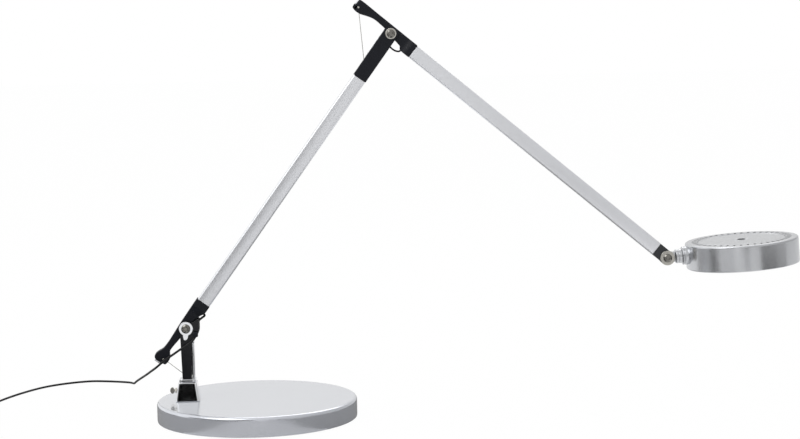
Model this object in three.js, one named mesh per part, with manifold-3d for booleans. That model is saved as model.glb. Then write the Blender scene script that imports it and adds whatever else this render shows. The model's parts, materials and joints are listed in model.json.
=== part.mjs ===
// Swing arm desk lamp. Millimetres, +Z up, origin on the floor at the centre of the round base,
// +X towards the lamp head.
import * as THREE from 'three';
import { mergeVertices } from 'three/addons/utils/BufferGeometryUtils.js';
import Module from 'manifold-3d';

const wasm = await Module();
wasm.setup();

// Base
const BASE_R = 115;
const BASE_H = 23;
const BASE_WALL = 2.5;
const BASE_EDGE_R = 4;
const PAD_H = 2;
const PAD_R = 111;
const WEIGHT_R = 108;
const WEIGHT_TOP = 18;

// Socket, thumb screw and post
const POST_X = -79;
const SOCKET_BOTTOM_W = 27.6;
const SOCKET_TOP_W = 21.2;
const SOCKET_Z0 = 23.3;
const SOCKET_Z1 = 44.3;
const SPIGOT_R = 4.8;
const THUMB_Z = 34.3;
const COLLAR_W = 19;
const COLLAR_Z0 = 44.6;
const COLLAR_Z1 = 48.4;
const COLUMN_Z0 = 48.7;
const COVER_IN = 6.2;
const COVER_OUT = 8.4;
const WEB_X0 = 5.9;
const WEB_X1 = 8.8;
const WEB_TOP = 90.5;
const LOWER_ANCHOR_X = -4.4;
const LOWER_ANCHOR_Z = 53.2;

// Arms
const PIVOT_Z = 107;
const ARM_LENGTH = 410;
const LOWER_ANGLE = 53.9;
const UPPER_ANGLE = -40.1;
const HEAD_ANGLE = 4;
const TUBE_H = 16.4;
const TUBE_D = 16;
const TUBE_WALL = 1.4;
const TUBE_CORNER_R = 2.2;
const LOWER_TUBE_X0 = 35.8;
const LOWER_TUBE_X1 = 348;
const UPPER_TUBE_X0 = 32.5;
const UPPER_TUBE_X1 = 393.5;
const TONGUE_Y = 5.2;
const TAIL_PIN_X = -44.5;
const TAIL_PIN_Z = 1;
const TAIL_END_X = -49.4;
const UPPER_TAIL_END_X = -51.2;
const UPPER_PIN_X = -46.9;
const UPPER_PIN_Z = 0;
const LOWER_LEAD_X = 24.5;
const UPPER_LEAD_X = 20.5;
const UPPER_ANCHOR_X = -46;
const UPPER_ANCHOR_Z = 4.2;
const BOLT_R = 3;
const BORE_R = 3.4;
const GAP = 0.3;
const SPRING_LENGTH = 150;
const SPRING_TURNS = 12;

// Head
const HEAD_R = 65;
const HEAD_TOP = 14;
const HEAD_BOTTOM = -15.8;
const HEAD_X = 88.4;
const HEAD_DROP = 1;
const HEAD_CAP_R = 50;
const VENT_COUNT = 44;
const VENT_R0 = 51.4;
const VENT_R1 = 57.4;
const VENT_W = 2.4;
const NECK_R = 8.2;
const NECK_X0 = 10.5;
const NECK_X1 = 17.6;

// Cord
const CORD_D = 2.6;
const LEAD_D = 2;
const CORD_REST_Z = 1.5;
const COIL_X = -345;
const COIL_Y = 62;
const COIL_OUTER_TURN_R = 17.2;
const COIL_INNER_R = 10.5;
const COIL_OUTER_R = 18.6;
const COIL_TOP_Z = 10.9;
const COIL_TOP_TURN_Z = 9.45;
const ADAPTER_W = 34;
const ADAPTER_L = 50;
const ADAPTER_H = 27;
const NOSE_L = 13;

const finish = (color, roughness, metalness) =>
  new THREE.MeshStandardMaterial({ color, roughness, metalness });
const lacquer = finish(0xd2d5dc, 0.28, 0.75);
const satinAluminium = finish(0xc4c6ca, 0.38, 0.9);
const chrome = finish(0xe6e8ec, 0.08, 1);
const steel = finish(0xb8b8b6, 0.3, 1);
const castIron = finish(0x4a4c50, 0.7, 0.6);
const blackPlastic = finish(0x22252c, 0.42, 0);
const glossBlack = finish(0x17181c, 0.12, 0);
const rubber = finish(0x1b1c1e, 0.85, 0);
const nylon = finish(0xe4e2da, 0.5, 0);
const darkGrey = finish(0x46494e, 0.4, 0.4);
const headSilver = finish(0xb4b6ba, 0.34, 0.85);
const opal = finish(0xf4f4f0, 0.35, 0);
const boardWhite = finish(0xe9ece8, 0.5, 0);

const lamp = new THREE.Group();

function add(parent, name, geometry, material) {
  const mesh = new THREE.Mesh(geometry, material);
  mesh.name = name;
  parent.add(mesh);
  return mesh;
}

function toSolid(geometry) {
  const bare = geometry.clone();
  bare.deleteAttribute('normal');
  bare.deleteAttribute('uv');
  const merged = mergeVertices(bare, 1e-4);
  return new wasm.Manifold(new wasm.Mesh({
    numProp: 3,
    vertProperties: new Float32Array(merged.attributes.position.array),
    triVerts: new Uint32Array(merged.index.array),
  }));
}

function toGeometry(solid) {
  const mesh = solid.getMesh();
  const geometry = new THREE.BufferGeometry();
  geometry.setAttribute('position', new THREE.BufferAttribute(mesh.vertProperties, 3));
  geometry.setIndex(new THREE.BufferAttribute(mesh.triVerts, 1));
  geometry.computeVertexNormals();
  return geometry;
}

function cut(geometry, ...tools) {
  const solid = tools.reduce((rest, tool) => rest.subtract(toSolid(tool)), toSolid(geometry));
  return toGeometry(solid);
}

function join(...pieces) {
  return toGeometry(pieces.map(toSolid).reduce((sum, piece) => sum.add(piece)));
}

// A box between two opposite corners.
function block(x0, x1, y0, y1, z0, z1) {
  const geometry = new THREE.BoxGeometry(x1 - x0, y1 - y0, z1 - z0);
  geometry.translate((x0 + x1) / 2, (y0 + y1) / 2, (z0 + z1) / 2);
  return geometry;
}

// A round bar along one axis, from one end to the other, through the point (a, b) of the other two.
function bar(axis, radius, from, to, a = 0, b = 0, sides = 24) {
  const geometry = new THREE.CylinderGeometry(radius, radius, to - from, sides);
  const middle = (from + to) / 2;
  if (axis === 'x') {
    geometry.rotateZ(-Math.PI / 2);
    geometry.translate(middle, a, b);
  } else if (axis === 'y') {
    geometry.translate(a, middle, b);
  } else {
    geometry.rotateX(Math.PI / 2);
    geometry.translate(a, b, middle);
  }
  return geometry;
}

// A side outline in X and Z, given thickness from y0 to y1.
function plate(outline, y0, y1, curveSegments = 8) {
  const options = { depth: y1 - y0, bevelEnabled: false, curveSegments };
  const geometry = new THREE.ExtrudeGeometry(outline, options);
  geometry.rotateX(Math.PI / 2);
  geometry.translate(0, y1, 0);
  return geometry;
}

// A round body turned about Z from a profile of [radius, height] points.
function turned(profile, sides = 64) {
  const points = profile.map(([r, z]) => new THREE.Vector2(r, z));
  const geometry = new THREE.LatheGeometry(points, sides);
  geometry.rotateX(Math.PI / 2);
  return geometry;
}

function roundedRect(width, height, radius) {
  const w = width / 2;
  const h = height / 2;
  const r = radius;
  const shape = new THREE.Shape();
  shape.moveTo(-w + r, -h);
  shape.lineTo(w - r, -h);
  shape.absarc(w - r, -h + r, r, -Math.PI / 2, 0);
  shape.lineTo(w, h - r);
  shape.absarc(w - r, h - r, r, 0, Math.PI / 2);
  shape.lineTo(-w + r, h);
  shape.absarc(-w + r, h - r, r, Math.PI / 2, Math.PI);
  shape.lineTo(-w, -h + r);
  shape.absarc(-w + r, -h + r, r, Math.PI, Math.PI * 1.5);
  return shape;
}

// A rounded square bar along Z whose top is narrower than its foot.
function taperedBlock(bottomWidth, topWidth, z0, z1, radius, segments = 4) {
  const options = { depth: z1 - z0, bevelEnabled: false, curveSegments: segments };
  const geometry = new THREE.ExtrudeGeometry(roundedRect(bottomWidth, bottomWidth, radius), options);
  const position = geometry.attributes.position;
  const ratio = topWidth / bottomWidth;
  for (let i = 0; i < position.count; i += 1) {
    if (position.getZ(i) > (z1 - z0) / 2) {
      position.setXY(i, position.getX(i) * ratio, position.getY(i) * ratio);
    }
  }
  geometry.translate(0, 0, z0);
  return geometry;
}

// A cord or wire: a small polygon carried along a smooth curve through the given points.
function strand(points, diameter, steps, sides = 8) {
  const curve = new THREE.CatmullRomCurve3(points.map((p) => new THREE.Vector3(...p)), false, 'centripetal');
  const section = new THREE.Shape();
  for (let i = 0; i < sides; i += 1) {
    const angle = (2 * Math.PI * (i + 0.5)) / sides;
    const method = i === 0 ? 'moveTo' : 'lineTo';
    section[method]((Math.cos(angle) * diameter) / 2, (Math.sin(angle) * diameter) / 2);
  }
  section.closePath();
  return new THREE.ExtrudeGeometry(section, { steps, bevelEnabled: false, extrudePath: curve });
}

// A coil spring along X.
function helix(x0, x1, radius, wire, turns) {
  const stepsPerTurn = 7;
  const count = turns * stepsPerTurn;
  const points = Array.from({ length: count + 1 }, (_, i) => {
    const angle = (2 * Math.PI * i) / stepsPerTurn;
    return [x0 + ((x1 - x0) * i) / count, radius * Math.cos(angle), radius * Math.sin(angle)];
  });
  return strand(points, wire, count, 4);
}

function ringAlongY(outer, inner, y0, y1, sides = 28) {
  return cut(bar('y', outer, y0, y1, 0, 0, sides), bar('y', inner, y0 - 1, y1 + 1, 0, 0, 20));
}

// A socket-head screw along Y, its head at the low-Y end.
function socketScrew(headR, headY0, headY1, shankEnd, socketR) {
  const body = join(bar('y', headR, headY0, headY1), bar('y', BOLT_R, headY1 - 0.5, shankEnd));
  return cut(body, bar('y', socketR, headY0 - 1, headY0 + 1.2, 0, 0, 6));
}

function buildBase() {
  const innerR = BASE_R - BASE_WALL;
  const roof = BASE_H - BASE_WALL;
  const edge = Array.from({ length: 4 }, (_, i) => {
    const angle = (Math.PI / 2) * (i / 3);
    const centre = BASE_R - BASE_EDGE_R;
    return [centre + BASE_EDGE_R * Math.cos(angle), BASE_H - BASE_EDGE_R + BASE_EDGE_R * Math.sin(angle)];
  });
  const shell = turned([[0, roof], [innerR, roof], [innerR, 0.6], [BASE_R, 0.6], ...edge, [0, BASE_H]], 72);
  const boltHole = bar('z', BORE_R, PAD_H, BASE_H + 2, POST_X, 0, 20);
  add(lamp, 'base_cover', cut(shell, boltHole), lacquer);

  const weight = bar('z', WEIGHT_R, PAD_H + GAP, WEIGHT_TOP, 0, 0, 64);
  const headRecess = bar('z', 6.6, 0, 7.6, POST_X, 0, 20);
  add(lamp, 'base_weight', cut(weight, boltHole, headRecess), castIron);

  add(lamp, 'base_pad', bar('z', PAD_R, 0, PAD_H, 0, 0, 64), rubber);

  const bolt = join(bar('z', 5.6, 2.6, 7.2, POST_X), bar('z', BOLT_R, 7, 29.4, POST_X));
  add(lamp, 'socket_bolt', cut(bolt, bar('z', 2.6, 0, 5, POST_X, 0, 6)), steel);
}

function buildSocket() {
  const holder = new THREE.Group();
  holder.position.x = POST_X;
  lamp.add(holder);
  const frustum = taperedBlock(SOCKET_BOTTOM_W, SOCKET_TOP_W, SOCKET_Z0, SOCKET_Z1, 3.6);
  const spigotBore = bar('z', SPIGOT_R + GAP, 31, SOCKET_Z1 + 2);
  const boltBore = bar('z', BORE_R, SOCKET_Z0 - 2, 30, 0, 0, 20);
  const thumbBore = bar('x', 1.9, -20, 0, 0, THUMB_Z, 16);
  add(holder, 'socket', cut(frustum, spigotBore, boltBore, thumbBore), chrome);

  const nutHole = bar('x', 1.9, -20, 0, 0, THUMB_Z, 16);
  add(holder, 'thumb_screw_nut', cut(bar('x', 2.9, -14.9, -12.7, 0, THUMB_Z, 6), nutHole), steel);

  const spade = new THREE.Shape();
  spade.absellipse(-18.2, THUMB_Z, 2.6, 3.9, 0, 2 * Math.PI);
  const shank = bar('x', 1.5, -17, -5.1, 0, THUMB_Z, 16);
  add(holder, 'thumb_screw', join(plate(spade, -1.1, 1.1, 12), shank), steel);
}

// The post's black side plates: slightly tapered below, round over the pivot, with a heel to the front.
function coverOutline() {
  const shape = new THREE.Shape();
  shape.moveTo(-5.6, COLUMN_Z0);
  shape.lineTo(5, COLUMN_Z0);
  shape.lineTo(WEB_X0 - GAP, 90.8);
  shape.quadraticCurveTo(8.6, 92.6, 11.4, 96.4);
  shape.quadraticCurveTo(15.1, 101.4, 15.1, 107);
  shape.lineTo(15.1, 116);
  shape.quadraticCurveTo(15.1, 118.8, 12.6, 117.2);
  shape.quadraticCurveTo(9, 114.6, 5.9, 113.3);
  shape.absarc(0, PIVOT_Z, 8.6, 0.82, Math.PI * 1.2, false);
  shape.lineTo(-6.9, 99);
  shape.closePath();
  return shape;
}

function buildPost() {
  const post = new THREE.Group();
  post.position.x = POST_X;
  lamp.add(post);
  const foot = block(-5.3, 4.9, -COVER_IN + GAP, COVER_IN - GAP, COLUMN_Z0, 51.6);
  const footBlock = join(foot, bar('z', SPIGOT_R, 31.3, COLUMN_Z0 + 1));
  add(post, 'post_spigot', footBlock, steel);

  const collar = taperedBlock(COLLAR_W, COLLAR_W, COLLAR_Z0, COLLAR_Z1, 3.4);
  add(post, 'post_collar', cut(collar, bar('z', SPIGOT_R + GAP, 40, 52)), chrome);

  const web = block(WEB_X0, WEB_X1, -COVER_OUT, COVER_OUT, COLUMN_Z0, WEB_TOP);
  add(post, 'post_web', web, chrome);

  const bore = bar('y', BORE_R, -20, 20, 0, PIVOT_Z, 20);
  add(post, 'post_front_cover', cut(plate(coverOutline(), -COVER_OUT, -COVER_IN), bore), glossBlack);
  add(post, 'post_back_cover', cut(plate(coverOutline(), COVER_IN, COVER_OUT), bore), glossBlack);

  const anchor = bar('y', 1.2, -COVER_IN + 0.1, COVER_IN - 0.1, LOWER_ANCHOR_X, LOWER_ANCHOR_Z, 12);
  add(post, 'lower_wire_anchor', anchor, steel);

  const pivot = new THREE.Group();
  pivot.position.z = PIVOT_Z;
  post.add(pivot);
  const tab = new THREE.Shape();
  tab.moveTo(2.6, -7);
  tab.lineTo(2.2, -10.2);
  tab.lineTo(0.4, -13.2);
  tab.lineTo(-2.6, -13.2);
  tab.lineTo(-3.6, -10);
  tab.lineTo(-3.8, -7);
  tab.closePath();
  const disc = bar('y', 8, -9.7, -8.6, 0, 0, 32);
  const tabWasher = cut(join(disc, plate(tab, -9.7, -8.6)), bar('y', BORE_R, -20, 20, 0, 0, 20));
  add(pivot, 'lower_pivot_tab_washer', tabWasher, chrome);
  add(pivot, 'lower_pivot_bolt', socketScrew(5.2, -12.6, -9.9, 11.5, 2.3), steel);
  add(pivot, 'lower_friction_washer_front', ringAlongY(7, BORE_R, -6.1, -5.3), nylon);
  add(pivot, 'lower_friction_washer_back', ringAlongY(7, BORE_R, 5.3, 6.1), nylon);
  const nut = cut(bar('y', 5.6, 8.7, 12.4, 0, 0, 6), bar('y', BORE_R, 0, 20, 0, 0, 20));
  add(pivot, 'lower_pivot_nut', nut, steel);

  const clip = plate(roundedRect(6, 6, 1.6), -13.4, -8.7, 4);
  clip.translate(10.8, 0, -6.5);
  add(pivot, 'cord_clip', clip, blackPlastic);
}

// The hollow square tube of an arm.
function armTube(x0, x1) {
  const outer = roundedRect(TUBE_D, TUBE_H, TUBE_CORNER_R);
  const inner = roundedRect(TUBE_D - 2 * TUBE_WALL, TUBE_H - 2 * TUBE_WALL, TUBE_CORNER_R - TUBE_WALL);
  outer.holes.push(inner);
  const options = { depth: x1 - x0, bevelEnabled: false, curveSegments: 4 };
  const geometry = new THREE.ExtrudeGeometry(outer, options);
  geometry.rotateX(Math.PI / 2);
  geometry.rotateZ(Math.PI / 2);
  geometry.translate(x0, 0, 0);
  return geometry;
}

// The plug of an end piece that sits inside the tube.
function tubePlug(x0, x1) {
  const halfY = TUBE_D / 2 - TUBE_WALL - GAP;
  const halfZ = TUBE_H / 2 - TUBE_WALL - GAP;
  return block(x0, x1, -halfY, halfY, -halfZ, halfZ);
}

// The shoulder that fills the tube's width just outside its end.
function tubeShoulder(x0, x1, top = TUBE_H / 2) {
  const half = TUBE_D / 2;
  return block(x0, x1, -half, half, -TUBE_H / 2, top);
}

// The lower end piece from the side: it swells round the wire pin at the tail, narrows to a waist
// and rounds the pivot.
function lowerTailOutline() {
  const shape = new THREE.Shape();
  shape.moveTo(26, 9.2);
  shape.lineTo(0, 8.8);
  shape.lineTo(-27, 7.8);
  shape.quadraticCurveTo(-35, 8, -39.5, 10.8);
  shape.quadraticCurveTo(-44.5, 14, TAIL_END_X + 1.4, 10.8);
  shape.lineTo(TAIL_END_X + 0.2, 9);
  shape.lineTo(TAIL_END_X + 0.2, -1);
  shape.quadraticCurveTo(TAIL_END_X + 0.4, -4.8, TAIL_PIN_X, -5);
  shape.quadraticCurveTo(-38.4, -5, -36, -2);
  shape.quadraticCurveTo(-33.6, 0.6, -29, 0.4);
  shape.lineTo(-13.6, -1);
  shape.absarc(0, 0, 7.5, Math.PI * 1.045, Math.PI * 1.93, false);
  shape.quadraticCurveTo(15, -2.8, 20.5, -5.2);
  shape.quadraticCurveTo(24, -6.8, 26, -7.9);
  shape.closePath();
  return shape;
}

// The upper end piece from the side: a straight back, a hook round the wire pin and a step
// behind the tube.
function upperTailOutline() {
  const shape = new THREE.Shape();
  shape.moveTo(24, 8.6);
  shape.lineTo(UPPER_TAIL_END_X + 3, 8.4);
  shape.lineTo(UPPER_TAIL_END_X, 8);
  shape.lineTo(UPPER_TAIL_END_X, 0.9);
  shape.lineTo(UPPER_TAIL_END_X - 1.8, 0.9);
  shape.lineTo(UPPER_TAIL_END_X - 1.8, -1.6);
  shape.quadraticCurveTo(UPPER_TAIL_END_X - 1, -5, UPPER_PIN_X, -5.3);
  shape.quadraticCurveTo(-39, -5.2, -33, -1.6);
  shape.quadraticCurveTo(-29, 0.8, -22, 0.9);
  shape.lineTo(-8, 0.2);
  shape.absarc(0, 0, 7.5, Math.PI, Math.PI * 1.88, false);
  shape.lineTo(14.6, -4);
  shape.lineTo(17.2, -4.6);
  shape.lineTo(19.4, -7.6);
  shape.lineTo(24, -8.2);
  shape.closePath();
  return shape;
}

// An arm's hinged end piece: tongue and tail in one outline, shoulder and plug at the tube.
function endPiece(outline, tubeX0, shoulderTop, leadX, pinX, pinZ) {
  const tongue = plate(outline, -TONGUE_Y, TONGUE_Y, 6);
  const body = join(tongue, tubeShoulder(23, tubeX0 - GAP, shoulderTop), tubePlug(tubeX0 - 1, tubeX0 + 16));
  const bore = bar('y', BORE_R, -20, 20, 0, 0, 20);
  const wireWay = block(pinX - 8, tubeX0 + 20, -0.9, 0.9, 4.1, 6.1);
  const wireMouth = block(pinX - 8, pinX + 9, -0.9, 0.9, -8, 4.4);
  const pinBore = bar('y', 1.5, -20, 20, pinX, pinZ, 14);
  const leadHole = bar('z', 1.8, -12, -3, leadX, 0, 12);
  return cut(body, bore, wireWay, wireMouth, pinBore, leadHole);
}

// Spring, its anchor plug and the wire that it pulls, inside a tube.
function buildSpring(arm, prefix, tubeX0) {
  const springStart = tubeX0 + 40;
  const springEnd = springStart + SPRING_LENGTH;
  add(arm, `${prefix}_spring`, helix(springStart, springEnd, 4.2, 1.6, SPRING_TURNS), steel);
  const hook = bar('x', 1.4, springEnd + 2, springEnd + 9, 0, 0, 10);
  const anchor = join(tubePlug(springEnd + 8, springEnd + 18), hook);
  const leadWay = block(springEnd, springEnd + 30, -7, 7, -9, -4.2);
  add(arm, `${prefix}_spring_anchor`, cut(anchor, leadWay), nylon);
}

function buildLowerArm() {
  const arm = new THREE.Group();
  arm.position.set(POST_X, 0, PIVOT_Z);
  arm.rotation.y = -THREE.MathUtils.degToRad(LOWER_ANGLE);
  lamp.add(arm);

  const tail = lowerTailOutline();
  const foot = endPiece(tail, LOWER_TUBE_X0, 9.2, LOWER_LEAD_X, TAIL_PIN_X, TAIL_PIN_Z);
  add(arm, 'lower_foot', foot, blackPlastic);
  const cap = block(TAIL_END_X - 1.6, TAIL_END_X - 0.1, -TONGUE_Y, TONGUE_Y, 1.4, 9.2);
  add(arm, 'lower_tail_cap', cap, satinAluminium);
  const pin = bar('y', 1.3, -6.1, 6.1, TAIL_PIN_X, TAIL_PIN_Z, 14);
  add(arm, 'lower_tail_pin', pin, steel);
  add(arm, 'lower_tube', armTube(LOWER_TUBE_X0, LOWER_TUBE_X1), satinAluminium);
  buildSpring(arm, 'lower', LOWER_TUBE_X0);

  const cheek = new THREE.Shape();
  const half = TUBE_H / 2;
  cheek.moveTo(LOWER_TUBE_X1 + GAP, -half);
  cheek.lineTo(ARM_LENGTH - 2, -half);
  cheek.absarc(ARM_LENGTH, 0, 8.4, -1.8, 1.8, false);
  cheek.lineTo(LOWER_TUBE_X1 + GAP, half);
  cheek.closePath();
  const fork = join(
    plate(cheek, -COVER_OUT, -COVER_IN),
    plate(cheek, COVER_IN, COVER_OUT),
    block(LOWER_TUBE_X1 + GAP, LOWER_TUBE_X1 + 10, -7.5, 7.5, -half, half),
    block(LOWER_TUBE_X1 + GAP, ARM_LENGTH - 16, -7.5, 7.5, -half, -half + 2.2),
    tubePlug(LOWER_TUBE_X1 - 16, LOWER_TUBE_X1 + 1),
  );
  const bore = bar('y', BORE_R, -20, 20, ARM_LENGTH, 0, 20);
  const leadWay = block(LOWER_TUBE_X1 - 20, LOWER_TUBE_X1 + 12, -1.9, 1.9, -5.6, -1.8);
  add(arm, 'lower_head', cut(fork, bore, leadWay), blackPlastic);

  const strip = block(ARM_LENGTH - 37, ARM_LENGTH - 9.6, -COVER_OUT, -COVER_IN - 0.1, half + GAP, half + 1.2);
  add(arm, 'elbow_edge_strip', strip, chrome);
  const anchorX = ARM_LENGTH + UPPER_ANCHOR_X;
  const anchor = bar('y', 1.2, -COVER_IN + 0.1, COVER_IN - 0.1, anchorX, UPPER_ANCHOR_Z, 12);
  add(arm, 'upper_wire_anchor', anchor, steel);

  const elbow = new THREE.Group();
  elbow.position.x = ARM_LENGTH;
  arm.add(elbow);
  add(elbow, 'elbow_washer', ringAlongY(6.3, BORE_R, -9.5, -8.6), steel);
  add(elbow, 'elbow_bolt', socketScrew(4.8, -12, -9.7, 11.3, 2.1), steel);
  add(elbow, 'elbow_friction_washer_front', ringAlongY(7, BORE_R, -6.1, -5.3), nylon);
  add(elbow, 'elbow_friction_washer_back', ringAlongY(7, BORE_R, 5.3, 6.1), nylon);
  const nut = cut(bar('y', 5.4, 8.7, 12.2, 0, 0, 6), bar('y', BORE_R, 0, 20, 0, 0, 20));
  add(elbow, 'elbow_nut', nut, steel);
  return elbow;
}

function buildUpperArm(elbow) {
  const arm = new THREE.Group();
  arm.rotation.y = THREE.MathUtils.degToRad(LOWER_ANGLE - UPPER_ANGLE);
  elbow.add(arm);

  const tail = upperTailOutline();
  const shoulderTop = TUBE_H / 2 + 0.4;
  const rear = endPiece(tail, UPPER_TUBE_X0, shoulderTop, UPPER_LEAD_X, UPPER_PIN_X, UPPER_PIN_Z);
  add(arm, 'upper_rear', rear, blackPlastic);
  const capX = UPPER_TAIL_END_X - GAP;
  const cap = block(capX - 1.4, capX, -TONGUE_Y, TONGUE_Y, 1.3, 8);
  add(arm, 'upper_tail_cap', cap, satinAluminium);
  add(arm, 'upper_tail_pin', bar('y', 1.3, -6.1, 6.1, UPPER_PIN_X, UPPER_PIN_Z, 14), steel);
  add(arm, 'upper_tube', armTube(UPPER_TUBE_X0, UPPER_TUBE_X1), satinAluminium);
  buildSpring(arm, 'upper', UPPER_TUBE_X0);

  const half = TUBE_H / 2 - 0.4;
  const cheek = new THREE.Shape();
  cheek.moveTo(UPPER_TUBE_X1 + GAP, -half);
  cheek.lineTo(ARM_LENGTH - 4, -half);
  cheek.absarc(ARM_LENGTH, 0, 8.2, -1.9, 1.9, false);
  cheek.lineTo(UPPER_TUBE_X1 + GAP, half);
  cheek.closePath();
  const fork = join(
    plate(cheek, -7.2, -4.3),
    plate(cheek, 4.3, 7.2),
    block(UPPER_TUBE_X1 + GAP, UPPER_TUBE_X1 + 6, -6.5, 6.5, -half, half),
    tubePlug(UPPER_TUBE_X1 - 14, UPPER_TUBE_X1 + 1),
  );
  const bore = bar('y', BORE_R, -20, 20, ARM_LENGTH, 0, 20);
  const leadWay = block(UPPER_TUBE_X1 - 18, UPPER_TUBE_X1 + 8, -1.9, 1.9, -5.6, -1.8);
  add(arm, 'upper_fork', cut(fork, bore, leadWay), darkGrey);

  const wrist = new THREE.Group();
  wrist.position.x = ARM_LENGTH;
  arm.add(wrist);
  add(wrist, 'head_pivot_washer', ringAlongY(8.5, BORE_R, -8.7, -7.4, 32), steel);
  add(wrist, 'head_pivot_screw', socketScrew(5, -11, -8.9, 10.4, 2), steel);
  const nut = cut(bar('y', 5.2, 7.5, 11.2, 0, 0, 6), bar('y', BORE_R, 0, 20, 0, 0, 20));
  add(wrist, 'head_pivot_nut', nut, steel);
  return wrist;
}

function buildKnuckle(wrist) {
  const knuckle = new THREE.Group();
  knuckle.rotation.y = THREE.MathUtils.degToRad(UPPER_ANGLE - HEAD_ANGLE);
  wrist.add(knuckle);
  const eye = new THREE.Shape();
  eye.absarc(0, 0, 7.9, 0.8, 2 * Math.PI - 0.8, false);
  eye.lineTo(11, -5.7);
  eye.lineTo(11, 5.7);
  eye.closePath();
  const body = join(
    plate(eye, -4.1, 4.1, 10),
    bar('x', NECK_R, NECK_X0, NECK_X1, 0, 0, 36),
    bar('x', 4.2, NECK_X1 - 1, 31, 0, 0, 24),
  );
  const leadHole = bar('x', 1.9, 4, 40, 0, 0, 12);
  add(knuckle, 'head_neck', cut(body, bar('y', BORE_R, -20, 20, 0, 0, 20), leadHole), headSilver);
  return knuckle;
}

function buildHead(knuckle) {
  const head = new THREE.Group();
  head.position.set(HEAD_X, 0, -HEAD_DROP);
  knuckle.add(head);
  const top = HEAD_TOP;
  const neckHole = bar('x', 4.6, -HEAD_R - 12, -HEAD_R + 12, 0, HEAD_DROP, 24);

  const rim = Array.from({ length: 3 }, (_, i) => {
    const angle = (Math.PI / 2) * (i / 2);
    return [HEAD_R - 2.4 + 2.4 * Math.cos(angle), top - 2.4 + 2.4 * Math.sin(angle)];
  });
  const shell = turned([
    [HEAD_CAP_R + 0.4, top - 2.4], [HEAD_R - 2.6, top - 3.2], [HEAD_R - 2.6, HEAD_BOTTOM],
    [HEAD_R - 0.6, HEAD_BOTTOM], [HEAD_R, HEAD_BOTTOM + 0.6], ...rim,
    [HEAD_CAP_R + 0.4, top], [HEAD_CAP_R + 0.4, top - 2.4],
  ], 2 * VENT_COUNT);
  const vents = Array.from({ length: VENT_COUNT }, (_, i) => {
    const slot = block(VENT_R0, VENT_R1, -VENT_W / 2, VENT_W / 2, top - 6, top + 2);
    slot.rotateZ((2 * Math.PI * (i + 0.5)) / VENT_COUNT);
    return slot;
  });
  add(head, 'head_housing', cut(shell, neckHole, ...vents), headSilver);

  const collar = bar('x', 10.6, NECK_X1 + GAP - HEAD_X, -HEAD_R - 0.4, 0, HEAD_DROP, 36);
  const collarBore = bar('x', 4.6, -HEAD_X, -HEAD_R + 4, 0, HEAD_DROP, 24);
  add(head, 'head_collar', cut(collar, collarBore), headSilver);

  const cap = turned([[0, top - 1.9], [HEAD_CAP_R, top - 1.9], [HEAD_CAP_R, top - 0.3], [0, top - 0.3]], 72);
  add(head, 'head_cap', cut(cap, bar('z', 5, 0, top + 4)), headSilver);

  const button = join(bar('z', 4.6, top - 1.4, top + 0.5), bar('z', 1.6, 5.2, top - 1, 0, 0, 16));
  add(head, 'push_button', button, darkGrey);

  const sinkDisc = turned([[0, 2], [47, 2], [47, 3.8], [0, 3.8]], 48);
  add(head, 'heat_sink', sinkDisc, satinAluminium);
  add(head, 'led_board', turned([[0, 0.2], [45, 0.2], [45, 1.7], [0, 1.7]], 48), boardWhite);
  const reflector = turned([
    [46.5, 1.7], [45.6, 1.7], [56.8, -9.4], [60.6, -9.4], [60.6, -8.4], [57.4, -8.4], [46.5, 1.7],
  ], 56);
  add(head, 'reflector', reflector, nylon);
  add(head, 'diffuser', turned([[0, -12], [60.6, -12], [60.6, -9.7], [0, -9.7]], 56), opal);
  const bezel = turned([
    [57.4, -13.7], [62.1, -13.7], [62.1, -9], [61, -9], [61, -12.3], [57.4, -12.3], [57.4, -13.7],
  ], 56);
  add(head, 'bezel', bezel, headSilver);
}

// A point given along an arm and across it, in the lamp's X and Z.
function onArm(origin, angleDegrees, along, across) {
  const angle = THREE.MathUtils.degToRad(angleDegrees);
  return [
    origin[0] + along * Math.cos(angle) - across * Math.sin(angle),
    origin[1] + along * Math.sin(angle) + across * Math.cos(angle),
  ];
}

const pivotPoint = [POST_X, PIVOT_Z];
const elbowPoint = onArm(pivotPoint, LOWER_ANGLE, ARM_LENGTH, 0);

// A tension wire from just off an arm's tail pin to just off its anchor on the member below.
function tensionWire(name, pin, anchor) {
  const length = Math.hypot(anchor[0] - pin[0], anchor[1] - pin[1]);
  const at = (distance) => [
    pin[0] + ((anchor[0] - pin[0]) * distance) / length, 0,
    pin[1] + ((anchor[1] - pin[1]) * distance) / length,
  ];
  add(lamp, name, strand([at(1.9), at(length - 1.6)], 1, 1, 6), steel);
}

function buildWires() {
  const lowerPin = onArm(pivotPoint, LOWER_ANGLE, TAIL_PIN_X, TAIL_PIN_Z);
  const upperPin = onArm(elbowPoint, UPPER_ANGLE, UPPER_PIN_X, UPPER_PIN_Z);
  tensionWire('lower_wire', lowerPin, [POST_X + LOWER_ANCHOR_X, LOWER_ANCHOR_Z]);
  tensionWire('upper_wire', upperPin, onArm(elbowPoint, LOWER_ANGLE, UPPER_ANCHOR_X, UPPER_ANCHOR_Z));
}

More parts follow.
